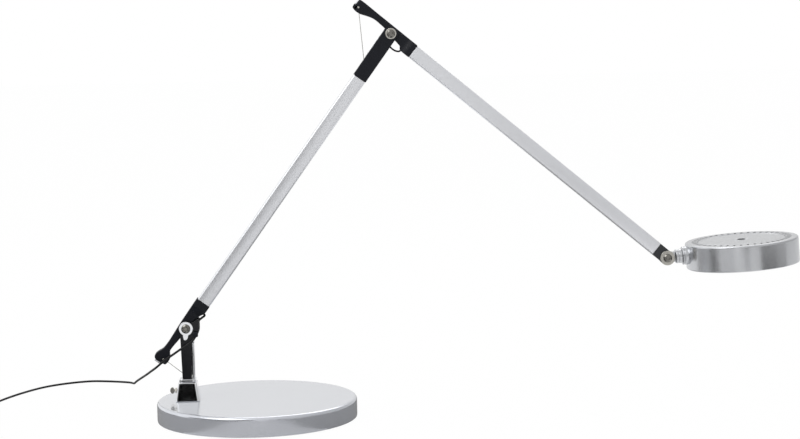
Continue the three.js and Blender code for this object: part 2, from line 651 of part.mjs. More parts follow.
// The low-voltage lead where it bridges the two arm joints.
function buildLeads() {
  const [footX, footZ] = onArm(pivotPoint, LOWER_ANGLE, LOWER_LEAD_X, -5.6);
  const [bendX, bendZ] = onArm(pivotPoint, LOWER_ANGLE, LOWER_LEAD_X - 0.8, -9.2);
  const pivotLead = [
    [footX, 0, footZ], [bendX, 0, bendZ], [-61.4, -0.2, 117.6], [-66.4, -0.8, 113.2], [-68.3, -2, 108.6],
    [-68.6, -3.2, 104.6], [-68.6, -4.4, 101.2],
  ];
  add(lamp, 'pivot_lead', strand(pivotLead, CORD_D, 14), rubber);

  const [outX, outZ] = onArm(elbowPoint, LOWER_ANGLE, -12.2, -6.4);
  const [inX, inZ] = onArm(elbowPoint, UPPER_ANGLE, UPPER_LEAD_X, -5.6);
  const [nearX, nearZ] = onArm(elbowPoint, UPPER_ANGLE, UPPER_LEAD_X, -9.2);
  const elbowLead = [[outX, 0, outZ], [163.6, 0, 421.2], [168, 0, 418.4], [nearX, 0, nearZ], [inX, 0, inZ]];
  add(lamp, 'elbow_lead', strand(elbowLead, LEAD_D, 12), rubber);
}

// The power cord: down from its clip, across in front of the post and the tail, back to the
// table, then along it to a neat coil with the plug-in adapter beside it.
function buildCord() {
  const coilSide = COIL_X + COIL_OUTER_TURN_R;
  const route = [
    [-69.2, -11.2, 96.8], [-69.8, -11.4, 95.6], [-72, -12.1, 93.2], [-76, -12.9, 90.2],
    [-85, -13.2, 84.5], [-96.7, -13, 76.7], [-104.4, -12, 71.4], [-113.5, -8, 63.6],
    [-121.9, 15, 55], [-131.3, 55, 43.7], [-143.2, 110, 29.5], [-154.7, 175, 14],
    [-160.6, 212, 5.2], [-163.4, 228, 2.2], [-168.6, 237.6, CORD_REST_Z],
    [-179.3, 243.4, CORD_REST_Z], [-197.9, 250.4, CORD_REST_Z], [-218.8, 254.2, CORD_REST_Z],
    [-244.3, 245.7, CORD_REST_Z], [-272, 224.6, CORD_REST_Z], [-296.5, 186.6, CORD_REST_Z],
    [-316.6, 139.9, CORD_REST_Z], [-324.2, 112, CORD_REST_Z], [-327.4, 90, CORD_REST_Z],
    [coilSide, 80, CORD_REST_Z], [coilSide, 72.2, CORD_REST_Z],
  ];
  add(lamp, 'power_cord', strand(route, CORD_D, 80), rubber);

  const ring = turned([
    [COIL_INNER_R, 0.2], [COIL_OUTER_R, 0.2], [COIL_OUTER_R, COIL_TOP_Z], [COIL_INNER_R, COIL_TOP_Z],
    [COIL_INNER_R, 0.2],
  ], 32);
  ring.translate(COIL_X, COIL_Y, 0);
  add(lamp, 'cord_coil', ring, rubber);

  const noseTip = COIL_Y - 11.2;
  const noseRoot = noseTip - NOSE_L;
  const foot = roundedRect(ADAPTER_W, ADAPTER_L, 5);
  const options = { depth: ADAPTER_H, bevelEnabled: false, curveSegments: 5 };
  const housing = new THREE.ExtrudeGeometry(foot, options);
  housing.translate(coilSide, noseRoot - ADAPTER_L / 2, 0.2);
  const nose = new THREE.CylinderGeometry(1.9, 3.4, NOSE_L + 2, 20);
  nose.translate(coilSide, noseRoot + NOSE_L / 2 - 1, COIL_TOP_TURN_Z);
  const pins = [-9.5, 9.5].map((x) => bar(
    'y', 2.4, noseRoot - ADAPTER_L - 18, noseRoot - ADAPTER_L + 2, coilSide + x, ADAPTER_H / 2, 16,
  ));
  add(lamp, 'power_adapter', join(housing, nose, ...pins), blackPlastic);
}

buildBase();
buildSocket();
buildPost();
const elbow = buildLowerArm();
const wrist = buildUpperArm(elbow);
buildHead(buildKnuckle(wrist));
buildWires();
buildLeads();
buildCord();

export default lamp;
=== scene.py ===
import json
import math

import bpy
import numpy as np
from mathutils import Matrix, Vector
from mathutils.geometry import tessellate_polygon


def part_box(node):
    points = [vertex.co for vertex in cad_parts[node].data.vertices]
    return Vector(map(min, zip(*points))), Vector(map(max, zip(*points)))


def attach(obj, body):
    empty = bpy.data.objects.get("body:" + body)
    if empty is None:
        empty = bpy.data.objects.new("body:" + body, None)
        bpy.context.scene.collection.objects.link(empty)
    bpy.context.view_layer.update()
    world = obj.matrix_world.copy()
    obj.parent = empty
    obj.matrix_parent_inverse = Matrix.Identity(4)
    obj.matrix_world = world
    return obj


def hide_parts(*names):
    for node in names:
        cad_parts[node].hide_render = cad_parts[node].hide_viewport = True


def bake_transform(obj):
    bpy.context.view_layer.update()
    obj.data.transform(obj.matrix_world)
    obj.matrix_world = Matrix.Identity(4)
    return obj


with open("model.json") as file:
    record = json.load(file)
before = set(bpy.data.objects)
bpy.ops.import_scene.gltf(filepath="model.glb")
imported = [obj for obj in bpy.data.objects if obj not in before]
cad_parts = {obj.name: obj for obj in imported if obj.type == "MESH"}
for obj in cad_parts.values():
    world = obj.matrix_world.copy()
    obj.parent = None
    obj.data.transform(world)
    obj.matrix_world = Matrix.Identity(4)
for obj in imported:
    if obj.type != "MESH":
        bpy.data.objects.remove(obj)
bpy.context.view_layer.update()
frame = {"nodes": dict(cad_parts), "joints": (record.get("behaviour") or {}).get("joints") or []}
nodes = frame["nodes"]
joints = {j["name"]: j for j in frame["joints"]}
mm = 0.001

# The hinges, in millimetres, and the angle of each member above the horizon.
pivot = np.array(joints["lower_arm_tilt"]["pos_m"]) / mm
elbow = np.array(joints["elbow_fold"]["pos_m"]) / mm
wrist = np.array(joints["head_tilt"]["pos_m"]) / mm
twistAxis = joints["head_twist"]["axis"]
lowerTurn = math.atan2(elbow[2] - pivot[2], elbow[0] - pivot[0])
upperTurn = math.atan2(wrist[2] - elbow[2], wrist[0] - elbow[0])
headTurn = math.atan2(twistAxis[2], twistAxis[0])
armLength = float(np.linalg.norm(elbow - pivot))
# Where each arm's tension wire is held, from its hinge, along the arm and across it.
lowerPin = (-44.5, 1)
upperPin = (-46.9, 0)


# The camera.

camera = {"place": (0.0766, -2.2797, 0.4622), "yaw": 0.0405, "pitch": -0.1033, "roll": -0.0206, "lens": 90}


def makeCamera(c):
    data = bpy.data.cameras.new("camera")
    data.lens = c["lens"]
    data.sensor_width = 36
    data.clip_end = 60
    obj = bpy.data.objects.new("camera", data)
    bpy.context.scene.collection.objects.link(obj)
    yaw, pitch, roll = c["yaw"], c["pitch"], c["roll"]
    ahead = Vector((math.sin(yaw) * math.cos(pitch), math.cos(yaw) * math.cos(pitch), math.sin(pitch)))
    level = Vector((math.cos(yaw), -math.sin(yaw), 0))
    rise = level.cross(ahead)
    right = level * math.cos(roll) + rise * math.sin(roll)
    up = rise * math.cos(roll) - level * math.sin(roll)
    obj.matrix_world = Matrix.Translation(c["place"]) @ Matrix((right, up, -ahead)).transposed().to_4x4()
    bpy.context.scene.camera = obj


makeCamera(camera)
print("camera ready")


# Surfaces: a shell is its points in millimetres, its quads and its triangles.

def ringShell(rings, loop=False):
    # Ring after ring of points; quads join each to the next, and a fan to its middle closes each end.
    count, around = rings.shape[:2]
    points = rings.reshape(-1, 3)
    row = np.arange(count if loop else count - 1)[:, None] * around
    col = np.arange(around)[None, :]
    beside = (col + 1) % around
    above = (row + around) % (count * around)
    quads = np.stack([row + col, row + beside, above + beside, above + col], -1).reshape(-1, 4)
    tris = np.zeros((0, 3), int)
    if not loop:
        middles = rings[[0, -1]].mean(1)
        first, last = len(points), len(points) + 1
        end = (count - 1) * around
        col, beside = col.ravel(), beside.ravel()
        startFan = np.stack([np.full(around, first), beside, col], -1)
        endFan = np.stack([np.full(around, last), end + col, end + beside], -1)
        tris = np.concatenate([startFan, endFan])
        points = np.concatenate([points, middles])
    return outward(points, quads, tris)


def outward(points, quads, tris):
    # The signed volume under all the faces says whether they point in; if so each is turned round.
    halves = np.concatenate([quads[:, [0, 1, 2]], quads[:, [0, 2, 3]], tris])
    a, b, c = (points[halves[:, i]] for i in range(3))
    if np.einsum("ij,ij->", a, np.cross(b, c)) < 0:
        quads, tris = quads[:, ::-1], tris[:, ::-1]
    return points, quads, tris


def rounded(profile, radius, steps=4):
    # Each inner corner of a polyline becomes a short curve that leaves it by at most the radius.
    p = np.array(profile, float)
    before, after = p[:-2] - p[1:-1], p[2:] - p[1:-1]
    lengthBefore = np.linalg.norm(before, axis=1, keepdims=True)
    lengthAfter = np.linalg.norm(after, axis=1, keepdims=True)
    reach = np.minimum(radius, 0.45 * np.minimum(lengthBefore, lengthAfter))
    start = p[1:-1] + before / lengthBefore * reach
    end = p[1:-1] + after / lengthAfter * reach
    t = np.linspace(0, 1, steps + 1)[None, :, None]
    curve = (1 - t) ** 2 * start[:, None] + 2 * t * (1 - t) * p[1:-1, None] + t**2 * end[:, None]
    lead = p[1:-1] + before / lengthBefore * reach * 1.1
    trail = p[1:-1] + after / lengthAfter * reach * 1.1
    curve = np.concatenate([lead[:, None], curve, trail[:, None]], 1)
    return np.concatenate([p[:1], curve.reshape(-1, p.shape[1]), p[-1:]])


def turned(profile, axis="z", sides=96, loop=False, centre=(0, 0, 0)):
    # Radius and height carried round an axis; a third column morphs the circle into a hexagon.
    p = np.array(profile, float)
    angle = np.linspace(0, 2 * math.pi, sides, endpoint=False)
    sixth = math.pi / 3
    hexagon = math.cos(sixth / 2) / np.cos(np.mod(angle, sixth) - sixth / 2)
    share = p[:, 2:3] if p.shape[1] > 2 else np.zeros((len(p), 1))
    radius = p[:, :1] * (1 - share + share * hexagon[None, :])
    across, along = radius * np.cos(angle), radius * np.sin(angle)
    height = np.broadcast_to(p[:, 1:2], across.shape)
    order = {"z": (across, along, height), "y": (across, height, along), "x": (height, across, along)}
    return ringShell(np.stack(order[axis], -1) + np.array(centre, float), loop)


def squareSection(halfA, halfB, corner, crown=0.0, steps=6, sidePoints=(0.02, 0.25, 0.5, 0.75, 0.98)):
    # Points round a rectangle with round corners, whose sides may bulge by crown.
    halfA, halfB, corner = (np.asarray(v, float)[..., None] for v in (halfA, halfB, corner))
    arc = np.linspace(0, math.pi / 2, steps + 1)
    side = np.array(sidePoints)
    parts = []
    for quarter in range(4):
        signA, signB = ((1, 1), (-1, 1), (-1, -1), (1, -1))[quarter]
        angle = arc + quarter * math.pi / 2
        a = signA * (halfA - corner) + corner * np.cos(angle)
        b = signB * (halfB - corner) + corner * np.sin(angle)
        if quarter % 2 == 0:   # next comes the side that runs along a
            run = (1 - 2 * side) * signA * (halfA - corner)
            bulge = crown * (1 - (1 - 2 * side) ** 2)
            parts += [(a, b), (run, signB * (halfB + bulge))]
        else:
            run = (1 - 2 * side) * signB * (halfB - corner)
            bulge = crown * (1 - (1 - 2 * side) ** 2)
            parts += [(a, b), (signA * (halfA + bulge), run)]
    shape = np.broadcast_shapes(*(np.broadcast_shapes(a.shape[:-1], b.shape[:-1]) for a, b in parts))
    full = [[np.broadcast_to(v, shape + v.shape[-1:]) for v in part] for part in parts]
    return np.concatenate([f[0] for f in full], -1), np.concatenate([f[1] for f in full], -1)


def squareStack(profile, corner, centre=(0, 0)):
    # Rounded squares of the given half widths stacked at the given heights.
    p = np.array(profile, float)
    a, b = squareSection(p[:, 0], p[:, 0], np.minimum(corner, p[:, 0] * 0.9))
    z = np.broadcast_to(p[:, 1:2], a.shape)
    return ringShell(np.stack([centre[0] + a, centre[1] + b, z], -1))


def loft(x, top, bottom, halfY, corner, endRound=0.8, steps=4):
    # Rounded rectangles carried along X between a top line and a bottom line, with eased ends.
    x, top, bottom, halfY = (np.asarray(v, float) for v in np.broadcast_arrays(x, top, bottom, halfY))
    ease = np.linspace(0, math.pi / 2, steps + 1)[:-1]
    drop = endRound * (1 - np.sin(ease))
    shift = endRound * (1 - np.cos(ease))
    head = [x[0] + shift, top[0] - drop, bottom[0] + drop, halfY[0] - drop]
    tail = [x[-1] - shift[::-1], top[-1] - drop[::-1], bottom[-1] + drop[::-1], halfY[-1] - drop[::-1]]
    inner = (x > x[0] + endRound) & (x < x[-1] - endRound)
    x, top, bottom, halfY = (np.concatenate([h, v[inner], t]) for h, v,
                             t in zip(head, (x, top, bottom, halfY), tail))
    halfZ = (top - bottom) / 2
    radius = np.minimum(corner, 0.8 * np.minimum(halfZ, halfY))
    a, b = squareSection(halfY, halfZ, radius)
    across = np.broadcast_to(x[:, None], a.shape)
    return ringShell(np.stack([across, a, b + ((top + bottom) / 2)[:, None]], -1))


def plate(outline, y0, y1, holes=(), bevel=0.5, steps=3):
    # An outline in X and Z given thickness along Y, with round edges and through holes.
    ease = np.linspace(0, math.pi / 2, steps + 1)
    inset = np.concatenate([[bevel * 1.3], bevel * (1 - np.sin(ease)), bevel * (1 - np.sin(ease[::-1])),
                            [bevel * 1.3]])
    y = np.concatenate([[y0], y0 + bevel * (1 - np.cos(ease)), y1 - bevel * (1 - np.cos(ease[::-1])), [y1]])
    points, quads, faces, start = [], [], [], 0
    for number, loop in enumerate([outline, *holes]):
        p = np.array(loop, float)
        nextPoint = np.roll(p, -1, 0)
        area = (p[:, 0] * nextPoint[:, 1] - p[:, 1] * nextPoint[:, 0]).sum()
        if (area > 0) == (number > 0):
            p = p[::-1]
        way = np.roll(p, -1, 0) - np.roll(p, 1, 0)
        way /= np.linalg.norm(way, axis=1, keepdims=True)
        inward = np.stack([-way[:, 1], way[:, 0]], 1)
        ring = p[None] + inset[:, None, None] * inward[None]
        around, count = len(p), len(y)
        level = np.broadcast_to(y[:, None], ring.shape[:2])
        points.append(np.stack([ring[..., 0], level, ring[..., 1]], -1).reshape(-1, 3))
        row = start + np.arange(count - 1)[:, None] * around
        col, beside = np.arange(around)[None], (np.arange(around)[None] + 1) % around
        quads.append(np.stack([row + col, row + around + col, row + around + beside, row + beside],
                              -1).reshape(-1, 4))
        faces.append((start, start + (count - 1) * around, around))
        start += count * around
    points = np.concatenate(points)
    tris = []
    for side in (0, 1):
        index = np.concatenate([np.arange(f[side], f[side] + f[2]) for f in faces])
        loops = [[Vector((*points[i, [0, 2]], 0)) for i in range(f[side], f[side] + f[2])] for f in faces]
        found = index[np.array(tessellate_polygon(loops))]
        a, b, c = (points[found[:, i]] for i in range(3))
        turn = np.cross(b - a, c - a)[:, 1] > 0
        wrong = turn if side == 0 else ~turn
        found[wrong] = found[wrong][:, ::-1]
        tris.append(found)
    return points, np.concatenate(quads), np.concatenate(tris)


def tube(path, radius, sides=12, up=(0, 0, 1)):
    # A circle carried along a path, held square to it by a fixed upward direction.
    path = np.array(path, float)
    way = np.gradient(path, axis=0)
    way /= np.linalg.norm(way, axis=1, keepdims=True)
    side = np.cross(way, np.array(up, float))
    side /= np.linalg.norm(side, axis=1, keepdims=True)
    rise = np.cross(side, way)
    angle = np.linspace(0, 2 * math.pi, sides, endpoint=False)
    radius = np.broadcast_to(np.asarray(radius, float), (len(path),))[:, None, None]
    ring = np.cos(angle)[None, :, None] * side[:, None] + np.sin(angle)[None, :, None] * rise[:, None]
    return ringShell(path[:, None] + radius * ring)


def moved(shell, origin, turn=0.0):
    # Turns a shell in the X-Z plane about the origin it was drawn round, then puts that in place.
    p = shell[0]
    c, s = math.cos(turn), math.sin(turn)
    points = np.stack([p[:, 0] * c - p[:, 2] * s, p[:, 1], p[:, 0] * s + p[:, 2] * c], 1)
    return points + np.array(origin, float), shell[1], shell[2]


def smoothRoute(points, step):
    # A centripetal Catmull-Rom curve through the points, then spaced evenly.
    p = np.array(points, float)
    p = np.concatenate([[2 * p[0] - p[1]], p, [2 * p[-1] - p[-2]]])
    gap = np.maximum(np.linalg.norm(np.diff(p, axis=0), axis=1) ** 0.5, 1e-6)[:, None]
    p0, p1, p2, p3 = p[:-3], p[1:-2], p[2:-1], p[3:]
    g0, g1, g2 = gap[:-2], gap[1:-1], gap[2:]
    leave = ((p1 - p0) / g0 - (p2 - p0) / (g0 + g1) + (p2 - p1) / g1) * g1
    arrive = ((p2 - p1) / g1 - (p3 - p1) / (g1 + g2) + (p3 - p2) / g2) * g1
    t = np.linspace(0, 1, 40, endpoint=False)[None, :, None]
    dense = (
        (2 * t**3 - 3 * t**2 + 1) * p1[:, None] + (t**3 - 2 * t**2 + t) * leave[:, None]
        + (3 * t**2 - 2 * t**3) * p2[:, None] + (t**3 - t**2) * arrive[:, None]
    )
    return evenly(np.concatenate([dense.reshape(-1, p.shape[1]), p[-2:-1]]), step)


def evenly(line, step):
    # The same line with its points about step apart.
    along = np.concatenate([[0], np.cumsum(np.linalg.norm(np.diff(line, axis=0), axis=1))])
    at = np.linspace(0, along[-1], max(3, int(round(along[-1] / step)) + 1))
    return np.stack([np.interp(at, along, line[:, i]) for i in range(line.shape[1])], 1)


def heights(points, x):
    # The height at each x of a smooth line through the points.
    line = smoothRoute(points, 0.25)
    return np.interp(x, line[:, 0], line[:, 1])


def circle(radius, centre=(0, 0), count=48, start=0.0, end=2 * math.pi):
    whole = abs(end - start - 2 * math.pi) < 1e-6
    angle = np.linspace(start, end, count, endpoint=not whole)
    return np.stack([centre[0] + radius * np.cos(angle), centre[1] + radius * np.sin(angle)], 1)


# Materials.

def shaderGroup(name, inputs, outputs):
    group = bpy.data.node_groups.new(name, "ShaderNodeTree")
    for label, kind, value in inputs:
        socket = group.interface.new_socket(label, in_out="INPUT", socket_type="NodeSocket" + kind)
        if value is not None:
            socket.default_value = value
    for label, kind in outputs:
        group.interface.new_socket(label, in_out="OUTPUT", socket_type="NodeSocket" + kind)
    return group, group.nodes.new("NodeGroupInput"), group.nodes.new("NodeGroupOutput")


def addNode(tree, kind, values=None, **settings):
    node = tree.nodes.new("ShaderNode" + kind)
    for key, value in settings.items():
        setattr(node, key, value)
    for key, value in (values or {}).items():
        if isinstance(value, bpy.types.NodeSocket):
            tree.links.new(value, node.inputs[key])
        else:
            node.inputs[key].default_value = value
    return node


def mathNode(tree, operation, a, b=0.0, clamp=False):
    return addNode(tree, "Math", {0: a, 1: b}, operation=operation, use_clamp=clamp).outputs[0]


def closeGrain(group, enter, leave, variation, height):
    # The tone is one plus the variation times the strength.
    scaled = mathNode(group, "MULTIPLY", variation, enter.outputs["Strength"])
    group.links.new(mathNode(group, "ADD", scaled, 1.0), leave.inputs["Tone"])
    group.links.new(height, leave.inputs["Height"])
    return group


def makeFlakeGroup():
    # Metal flakes in a lacquer: each small cell has its own brightness, over a slow cloudiness.
    group, enter, leave = shaderGroup(
        "metalFlake", [("Vector", "Vector", None), ("Scale", "Float", 1400), ("Strength", "Float", 0.2)],
        [("Tone", "Float"), ("Height", "Float")])
    cells = addNode(group, "TexVoronoi", {"Vector": enter.outputs["Vector"],
                                          "Scale": enter.outputs["Scale"]})
    flake = addNode(group, "SeparateColor", {"Color": cells.outputs["Color"]}).outputs[0]
    cloud = addNode(group, "TexNoise", {"Vector": enter.outputs["Vector"], "Scale": 45.0,
                                        "Detail": 3.0}).outputs[0]
    both = mathNode(group, "ADD", mathNode(group, "SUBTRACT", flake, 0.5),
                    mathNode(group, "MULTIPLY", mathNode(group, "SUBTRACT", cloud, 0.5), 0.5))
    return closeGrain(group, enter, leave, both, flake)


def makeBrushedGroup():
    # Fine lines along one direction: noise stretched along the first axis.
    group, enter, leave = shaderGroup(
        "brushedGrain", [("Vector", "Vector", None), ("Scale", "Float", 900), ("Strength", "Float", 0.1)],
        [("Tone", "Float"), ("Height", "Float")])
    stretched = addNode(group, "VectorMath", {0: enter.outputs["Vector"], 1: (0.03, 1, 1)},
                        operation="MULTIPLY")
    lines = addNode(group, "TexNoise", {"Vector": stretched.outputs[0], "Scale": enter.outputs["Scale"],
                                        "Detail": 5.0, "Roughness": 0.65}).outputs[0]
    return closeGrain(group, enter, leave, mathNode(group, "SUBTRACT", lines, 0.5), lines)


def makeMouldedGroup():
    # The fine spark-eroded grain of a moulding, with slow changes of tone.
    group, enter, leave = shaderGroup(
        "mouldedGrain", [("Vector", "Vector", None), ("Scale", "Float", 1600), ("Strength", "Float", 0.2)],
        [("Tone", "Float"), ("Height", "Float")])
    fine = addNode(group, "TexNoise", {"Vector": enter.outputs["Vector"], "Scale": enter.outputs["Scale"],
                                       "Detail": 4.0, "Roughness": 0.7}).outputs[0]
    slow = addNode(group, "TexNoise", {"Vector": enter.outputs["Vector"], "Scale": 120.0,
                                       "Detail": 4.0}).outputs[0]
    mixed = mathNode(group, "ADD", mathNode(group, "SUBTRACT", fine, 0.5),
                     mathNode(group, "SUBTRACT", slow, 0.5))
    return closeGrain(group, enter, leave, mixed, fine)


def makeHandlingGroup():
    # Marks of use: wear where the surface turns sharply, smears from hands, and a little dust on top.
    group, enter, leave = shaderGroup(
        "handling", [("Vector", "Vector", None), ("Wear", "Float", 0.5), ("Smear", "Float", 0.5)],
        [("Edge", "Float"), ("Smears", "Float"), ("Dust", "Float")])
    soft = addNode(group, "Bevel", {"Radius": 0.0006}, samples=4)
    shape = addNode(group, "NewGeometry")
    dot = addNode(group, "VectorMath", {0: soft.outputs[0], 1: shape.outputs["Normal"]},
                  operation="DOT_PRODUCT")
    bend = mathNode(group, "MULTIPLY", mathNode(group, "SUBTRACT", 1.0, dot.outputs["Value"]), 5.0,
                    clamp=True)
    broken = addNode(group, "TexNoise", {"Vector": enter.outputs["Vector"], "Scale": 260.0,
                                         "Detail": 4.0}).outputs[0]
    patchy = mathNode(group, "MULTIPLY", bend, mathNode(group, "SUBTRACT",
                                                        mathNode(group, "MULTIPLY", broken, 2.6), 0.7,
                                                        clamp=True))
    group.links.new(mathNode(group, "MULTIPLY", patchy, enter.outputs["Wear"]), leave.inputs["Edge"])
    smear = addNode(group, "TexNoise", {"Vector": enter.outputs["Vector"], "Scale": 28.0, "Detail": 6.0,
                                        "Distortion": 0.8}).outputs[0]
    smear = mathNode(group, "MULTIPLY", mathNode(group, "SUBTRACT", smear, 0.45, clamp=True),
                     enter.outputs["Smear"])
    group.links.new(smear, leave.inputs["Smears"])
    level = addNode(group, "SeparateXYZ", {0: shape.outputs["Normal"]}).outputs[2]
    specks = addNode(group, "TexNoise", {"Vector": enter.outputs["Vector"], "Scale": 700.0,
                                         "Detail": 2.0}).outputs[0]
    specks = mathNode(group, "MULTIPLY", mathNode(group, "SUBTRACT", specks, 0.66, clamp=True), 3.0)
    group.links.new(mathNode(group, "MULTIPLY", specks, mathNode(group, "MAXIMUM", level, 0.0)),
                    leave.inputs["Dust"])
    return group


grainGroups = {"flake": makeFlakeGroup(), "brushed": makeBrushedGroup(), "moulded": makeMouldedGroup()}
handlingGroup = makeHandlingGroup()


def makeFinish(name, look):
    # Colour times the grain's tone, paler where worn and where dust lies; smears raise the roughness.
    material = bpy.data.materials.new(name)
    material.use_nodes = True
    tree = material.node_tree
    shader = tree.nodes["Principled BSDF"]
    place = addNode(tree, "TexCoord").outputs["Object"]
    if "turn" in look:
        place = addNode(tree, "Mapping", {"Vector": place, "Rotation": (0, look["turn"], 0)}).outputs[0]
    grain = addNode(tree, "Group", node_tree=grainGroups[look["grain"]])
    tree.links.new(place, grain.inputs["Vector"])
    grain.inputs["Scale"].default_value = look["grainScale"]
    grain.inputs["Strength"].default_value = look["grainStrength"]
    use = addNode(tree, "Group", node_tree=handlingGroup)
    tree.links.new(place, use.inputs["Vector"])
    use.inputs["Wear"].default_value = look.get("wear", 0.4)
    use.inputs["Smear"].default_value = look.get("smear", 0.4)
    tone = addNode(tree, "VectorMath", {0: look["colour"], 1: grain.outputs["Tone"]}, operation="MULTIPLY")
    worn = addNode(tree, "Mix", {"Factor": use.outputs["Edge"], 6: tone.outputs[0],
                                 7: (*look.get("under", look["colour"]), 1)}, data_type="RGBA")
    dusty = addNode(tree, "Mix", {"Factor": use.outputs["Dust"], 6: worn.outputs[2],
                                  7: (0.55, 0.54, 0.52, 1)},
                    data_type="RGBA")
    tree.links.new(dusty.outputs[2], shader.inputs["Base Color"])
    rough = mathNode(tree, "ADD", mathNode(tree, "MULTIPLY", use.outputs["Smears"],
                                           look.get("smearRough", 0.25)),
                     look["roughness"])
    rough = mathNode(tree, "ADD", rough, mathNode(tree, "MULTIPLY",
                                                  mathNode(tree, "SUBTRACT", grain.outputs["Tone"],
                                                                             1.0),
                                                  look.get("grainRough", 0.2)))
    tree.links.new(mathNode(tree, "ADD", rough, mathNode(tree, "MULTIPLY", use.outputs["Dust"], 0.3),
                            clamp=True),
                   shader.inputs["Roughness"])
    bump = addNode(tree, "Bump", {"Strength": look.get("bump", 0.2), "Distance": look.get("depth", 0.00005),
                                  "Height": grain.outputs["Height"]})
    tree.links.new(bump.outputs[0], shader.inputs["Normal"])
    shader.inputs["Metallic"].default_value = look["metallic"]
    if "specular" in look:
        shader.inputs["Specular IOR Level"].default_value = look["specular"]
    if "coat" in look:
        shader.inputs["Coat Weight"].default_value = look["coat"]
        shader.inputs["Coat Roughness"].default_value = look["coatRoughness"]
    if "scatter" in look:
        shader.inputs["Subsurface Weight"].default_value = look["scatter"]
        shader.inputs["Subsurface Scale"].default_value = 0.002
    return material


looks = {
    "silver_lacquer": {"colour": (0.66, 0.68, 0.73), "metallic": 0.8, "roughness": 0.22, "grain": "flake",
                       "grainScale": 1500, "grainStrength": 0.14, "bump": 0.05, "coat": 0.9,
                       "coatRoughness": 0.04,
                       "wear": 0.2, "smear": 0.5, "under": (0.5, 0.5, 0.52)},
    "head_silver": {"colour": (0.58, 0.59, 0.61), "metallic": 0.9, "roughness": 0.2, "grain": "flake",
                    "grainScale": 2500, "grainStrength": 0.2, "bump": 0.05, "wear": 0.3, "smear": 0.5,
                    "under": (0.75, 0.75, 0.75)},
    "satin_aluminium": {"colour": (0.84, 0.85, 0.88), "metallic": 0.9, "roughness": 0.32,
                        "grain": "brushed",
                        "grainScale": 1100, "grainStrength": 0.06, "bump": 0.05, "wear": 0.5, "smear": 0.5,
                        "under": (0.92, 0.92, 0.93)},
    "chrome": {"colour": (0.82, 0.83, 0.85), "metallic": 1.0, "roughness": 0.06, "grain": "moulded",
               "grainScale": 700, "grainStrength": 0.05, "bump": 0.03, "wear": 0.15, "smear": 0.6,
               "smearRough": 0.3, "under": (0.7, 0.66, 0.6)},
    "nickel_steel": {"colour": (0.5, 0.485, 0.445), "metallic": 1.0, "roughness": 0.2, "grain": "moulded",
                     "grainScale": 1200, "grainStrength": 0.14, "bump": 0.1, "wear": 0.5, "smear": 0.5,
                     "under": (0.9, 0.88, 0.84)},
    "cast_iron": {"colour": (0.09, 0.09, 0.1), "metallic": 0.6, "roughness": 0.65, "grain": "moulded",
                  "grainScale": 350, "grainStrength": 0.5, "bump": 0.8, "depth": 0.0003},
    "black_plastic": {"specular": 0.22, "colour": (0.006, 0.007, 0.011), "metallic": 0.0, "roughness": 0.42,
                      "grain": "moulded",
                      "grainScale": 1500, "grainStrength": 0.7, "bump": 0.5, "depth": 0.00008, "wear": 0.5,
                      "smear": 0.5, "under": (0.06, 0.065, 0.08)},
    "gloss_black": {"specular": 0.3, "colour": (0.006, 0.006, 0.008), "metallic": 0.0, "roughness": 0.16,
                    "grain": "moulded",
                    "grainScale": 900, "grainStrength": 0.3, "bump": 0.04, "wear": 0.4, "smear": 0.7,
                    "under": (0.05, 0.05, 0.055)},
    "dark_grey": {"colour": (0.028, 0.03, 0.034), "metallic": 0.3, "roughness": 0.38, "grain": "moulded",
                  "grainScale": 1300, "grainStrength": 0.5, "bump": 0.3, "wear": 0.6, "smear": 0.4,
                  "under": (0.2, 0.2, 0.2)},
    "cord_black": {"specular": 0.3, "colour": (0.008, 0.008, 0.009), "metallic": 0.0, "roughness": 0.5,
                   "grain": "moulded",
                   "grainScale": 1800, "grainStrength": 0.5, "bump": 0.2, "wear": 0.0, "smear": 0.6},
    "pad_rubber": {"colour": (0.02, 0.02, 0.021), "metallic": 0.0, "roughness": 0.85, "grain": "moulded",
                   "grainScale": 900, "grainStrength": 0.6, "bump": 0.6, "depth": 0.0001, "wear": 0.2},
    "nylon": {"colour": (0.78, 0.77, 0.72), "metallic": 0.0, "roughness": 0.5, "grain": "moulded",
              "grainScale": 900, "grainStrength": 0.08, "bump": 0.1, "scatter": 0.2},
    "opal": {"colour": (0.9, 0.9, 0.88), "metallic": 0.0, "roughness": 0.38, "grain": "moulded",
             "grainScale": 2200, "grainStrength": 0.05, "bump": 0.5, "scatter": 0.5, "wear": 0.1},
    "board_white": {"colour": (0.8, 0.82, 0.79), "metallic": 0.0, "roughness": 0.5, "grain": "moulded",
                    "grainScale": 700, "grainStrength": 0.06, "bump": 0.1},
}
finishes = {slot: makeFinish(slot, look) for slot, look in looks.items()}
lowerSatin = makeFinish("satin_aluminium_lower", {**looks["satin_aluminium"], "turn": lowerTurn})
# The bolt heads take a darker copy of the nickel steel: painted shade for the dark surroundings their heads
# reflect.
boltNickelPaintedShade = makeFinish("nickel_steel_bolt_painted_shade", {**looks["nickel_steel"], "colour": (0.2, 0.193, 0.176),
                                              "roughness": 0.12})
upperSatin = makeFinish("satin_aluminium_upper", {**looks["satin_aluminium"], "turn": upperTurn})
print("materials ready")


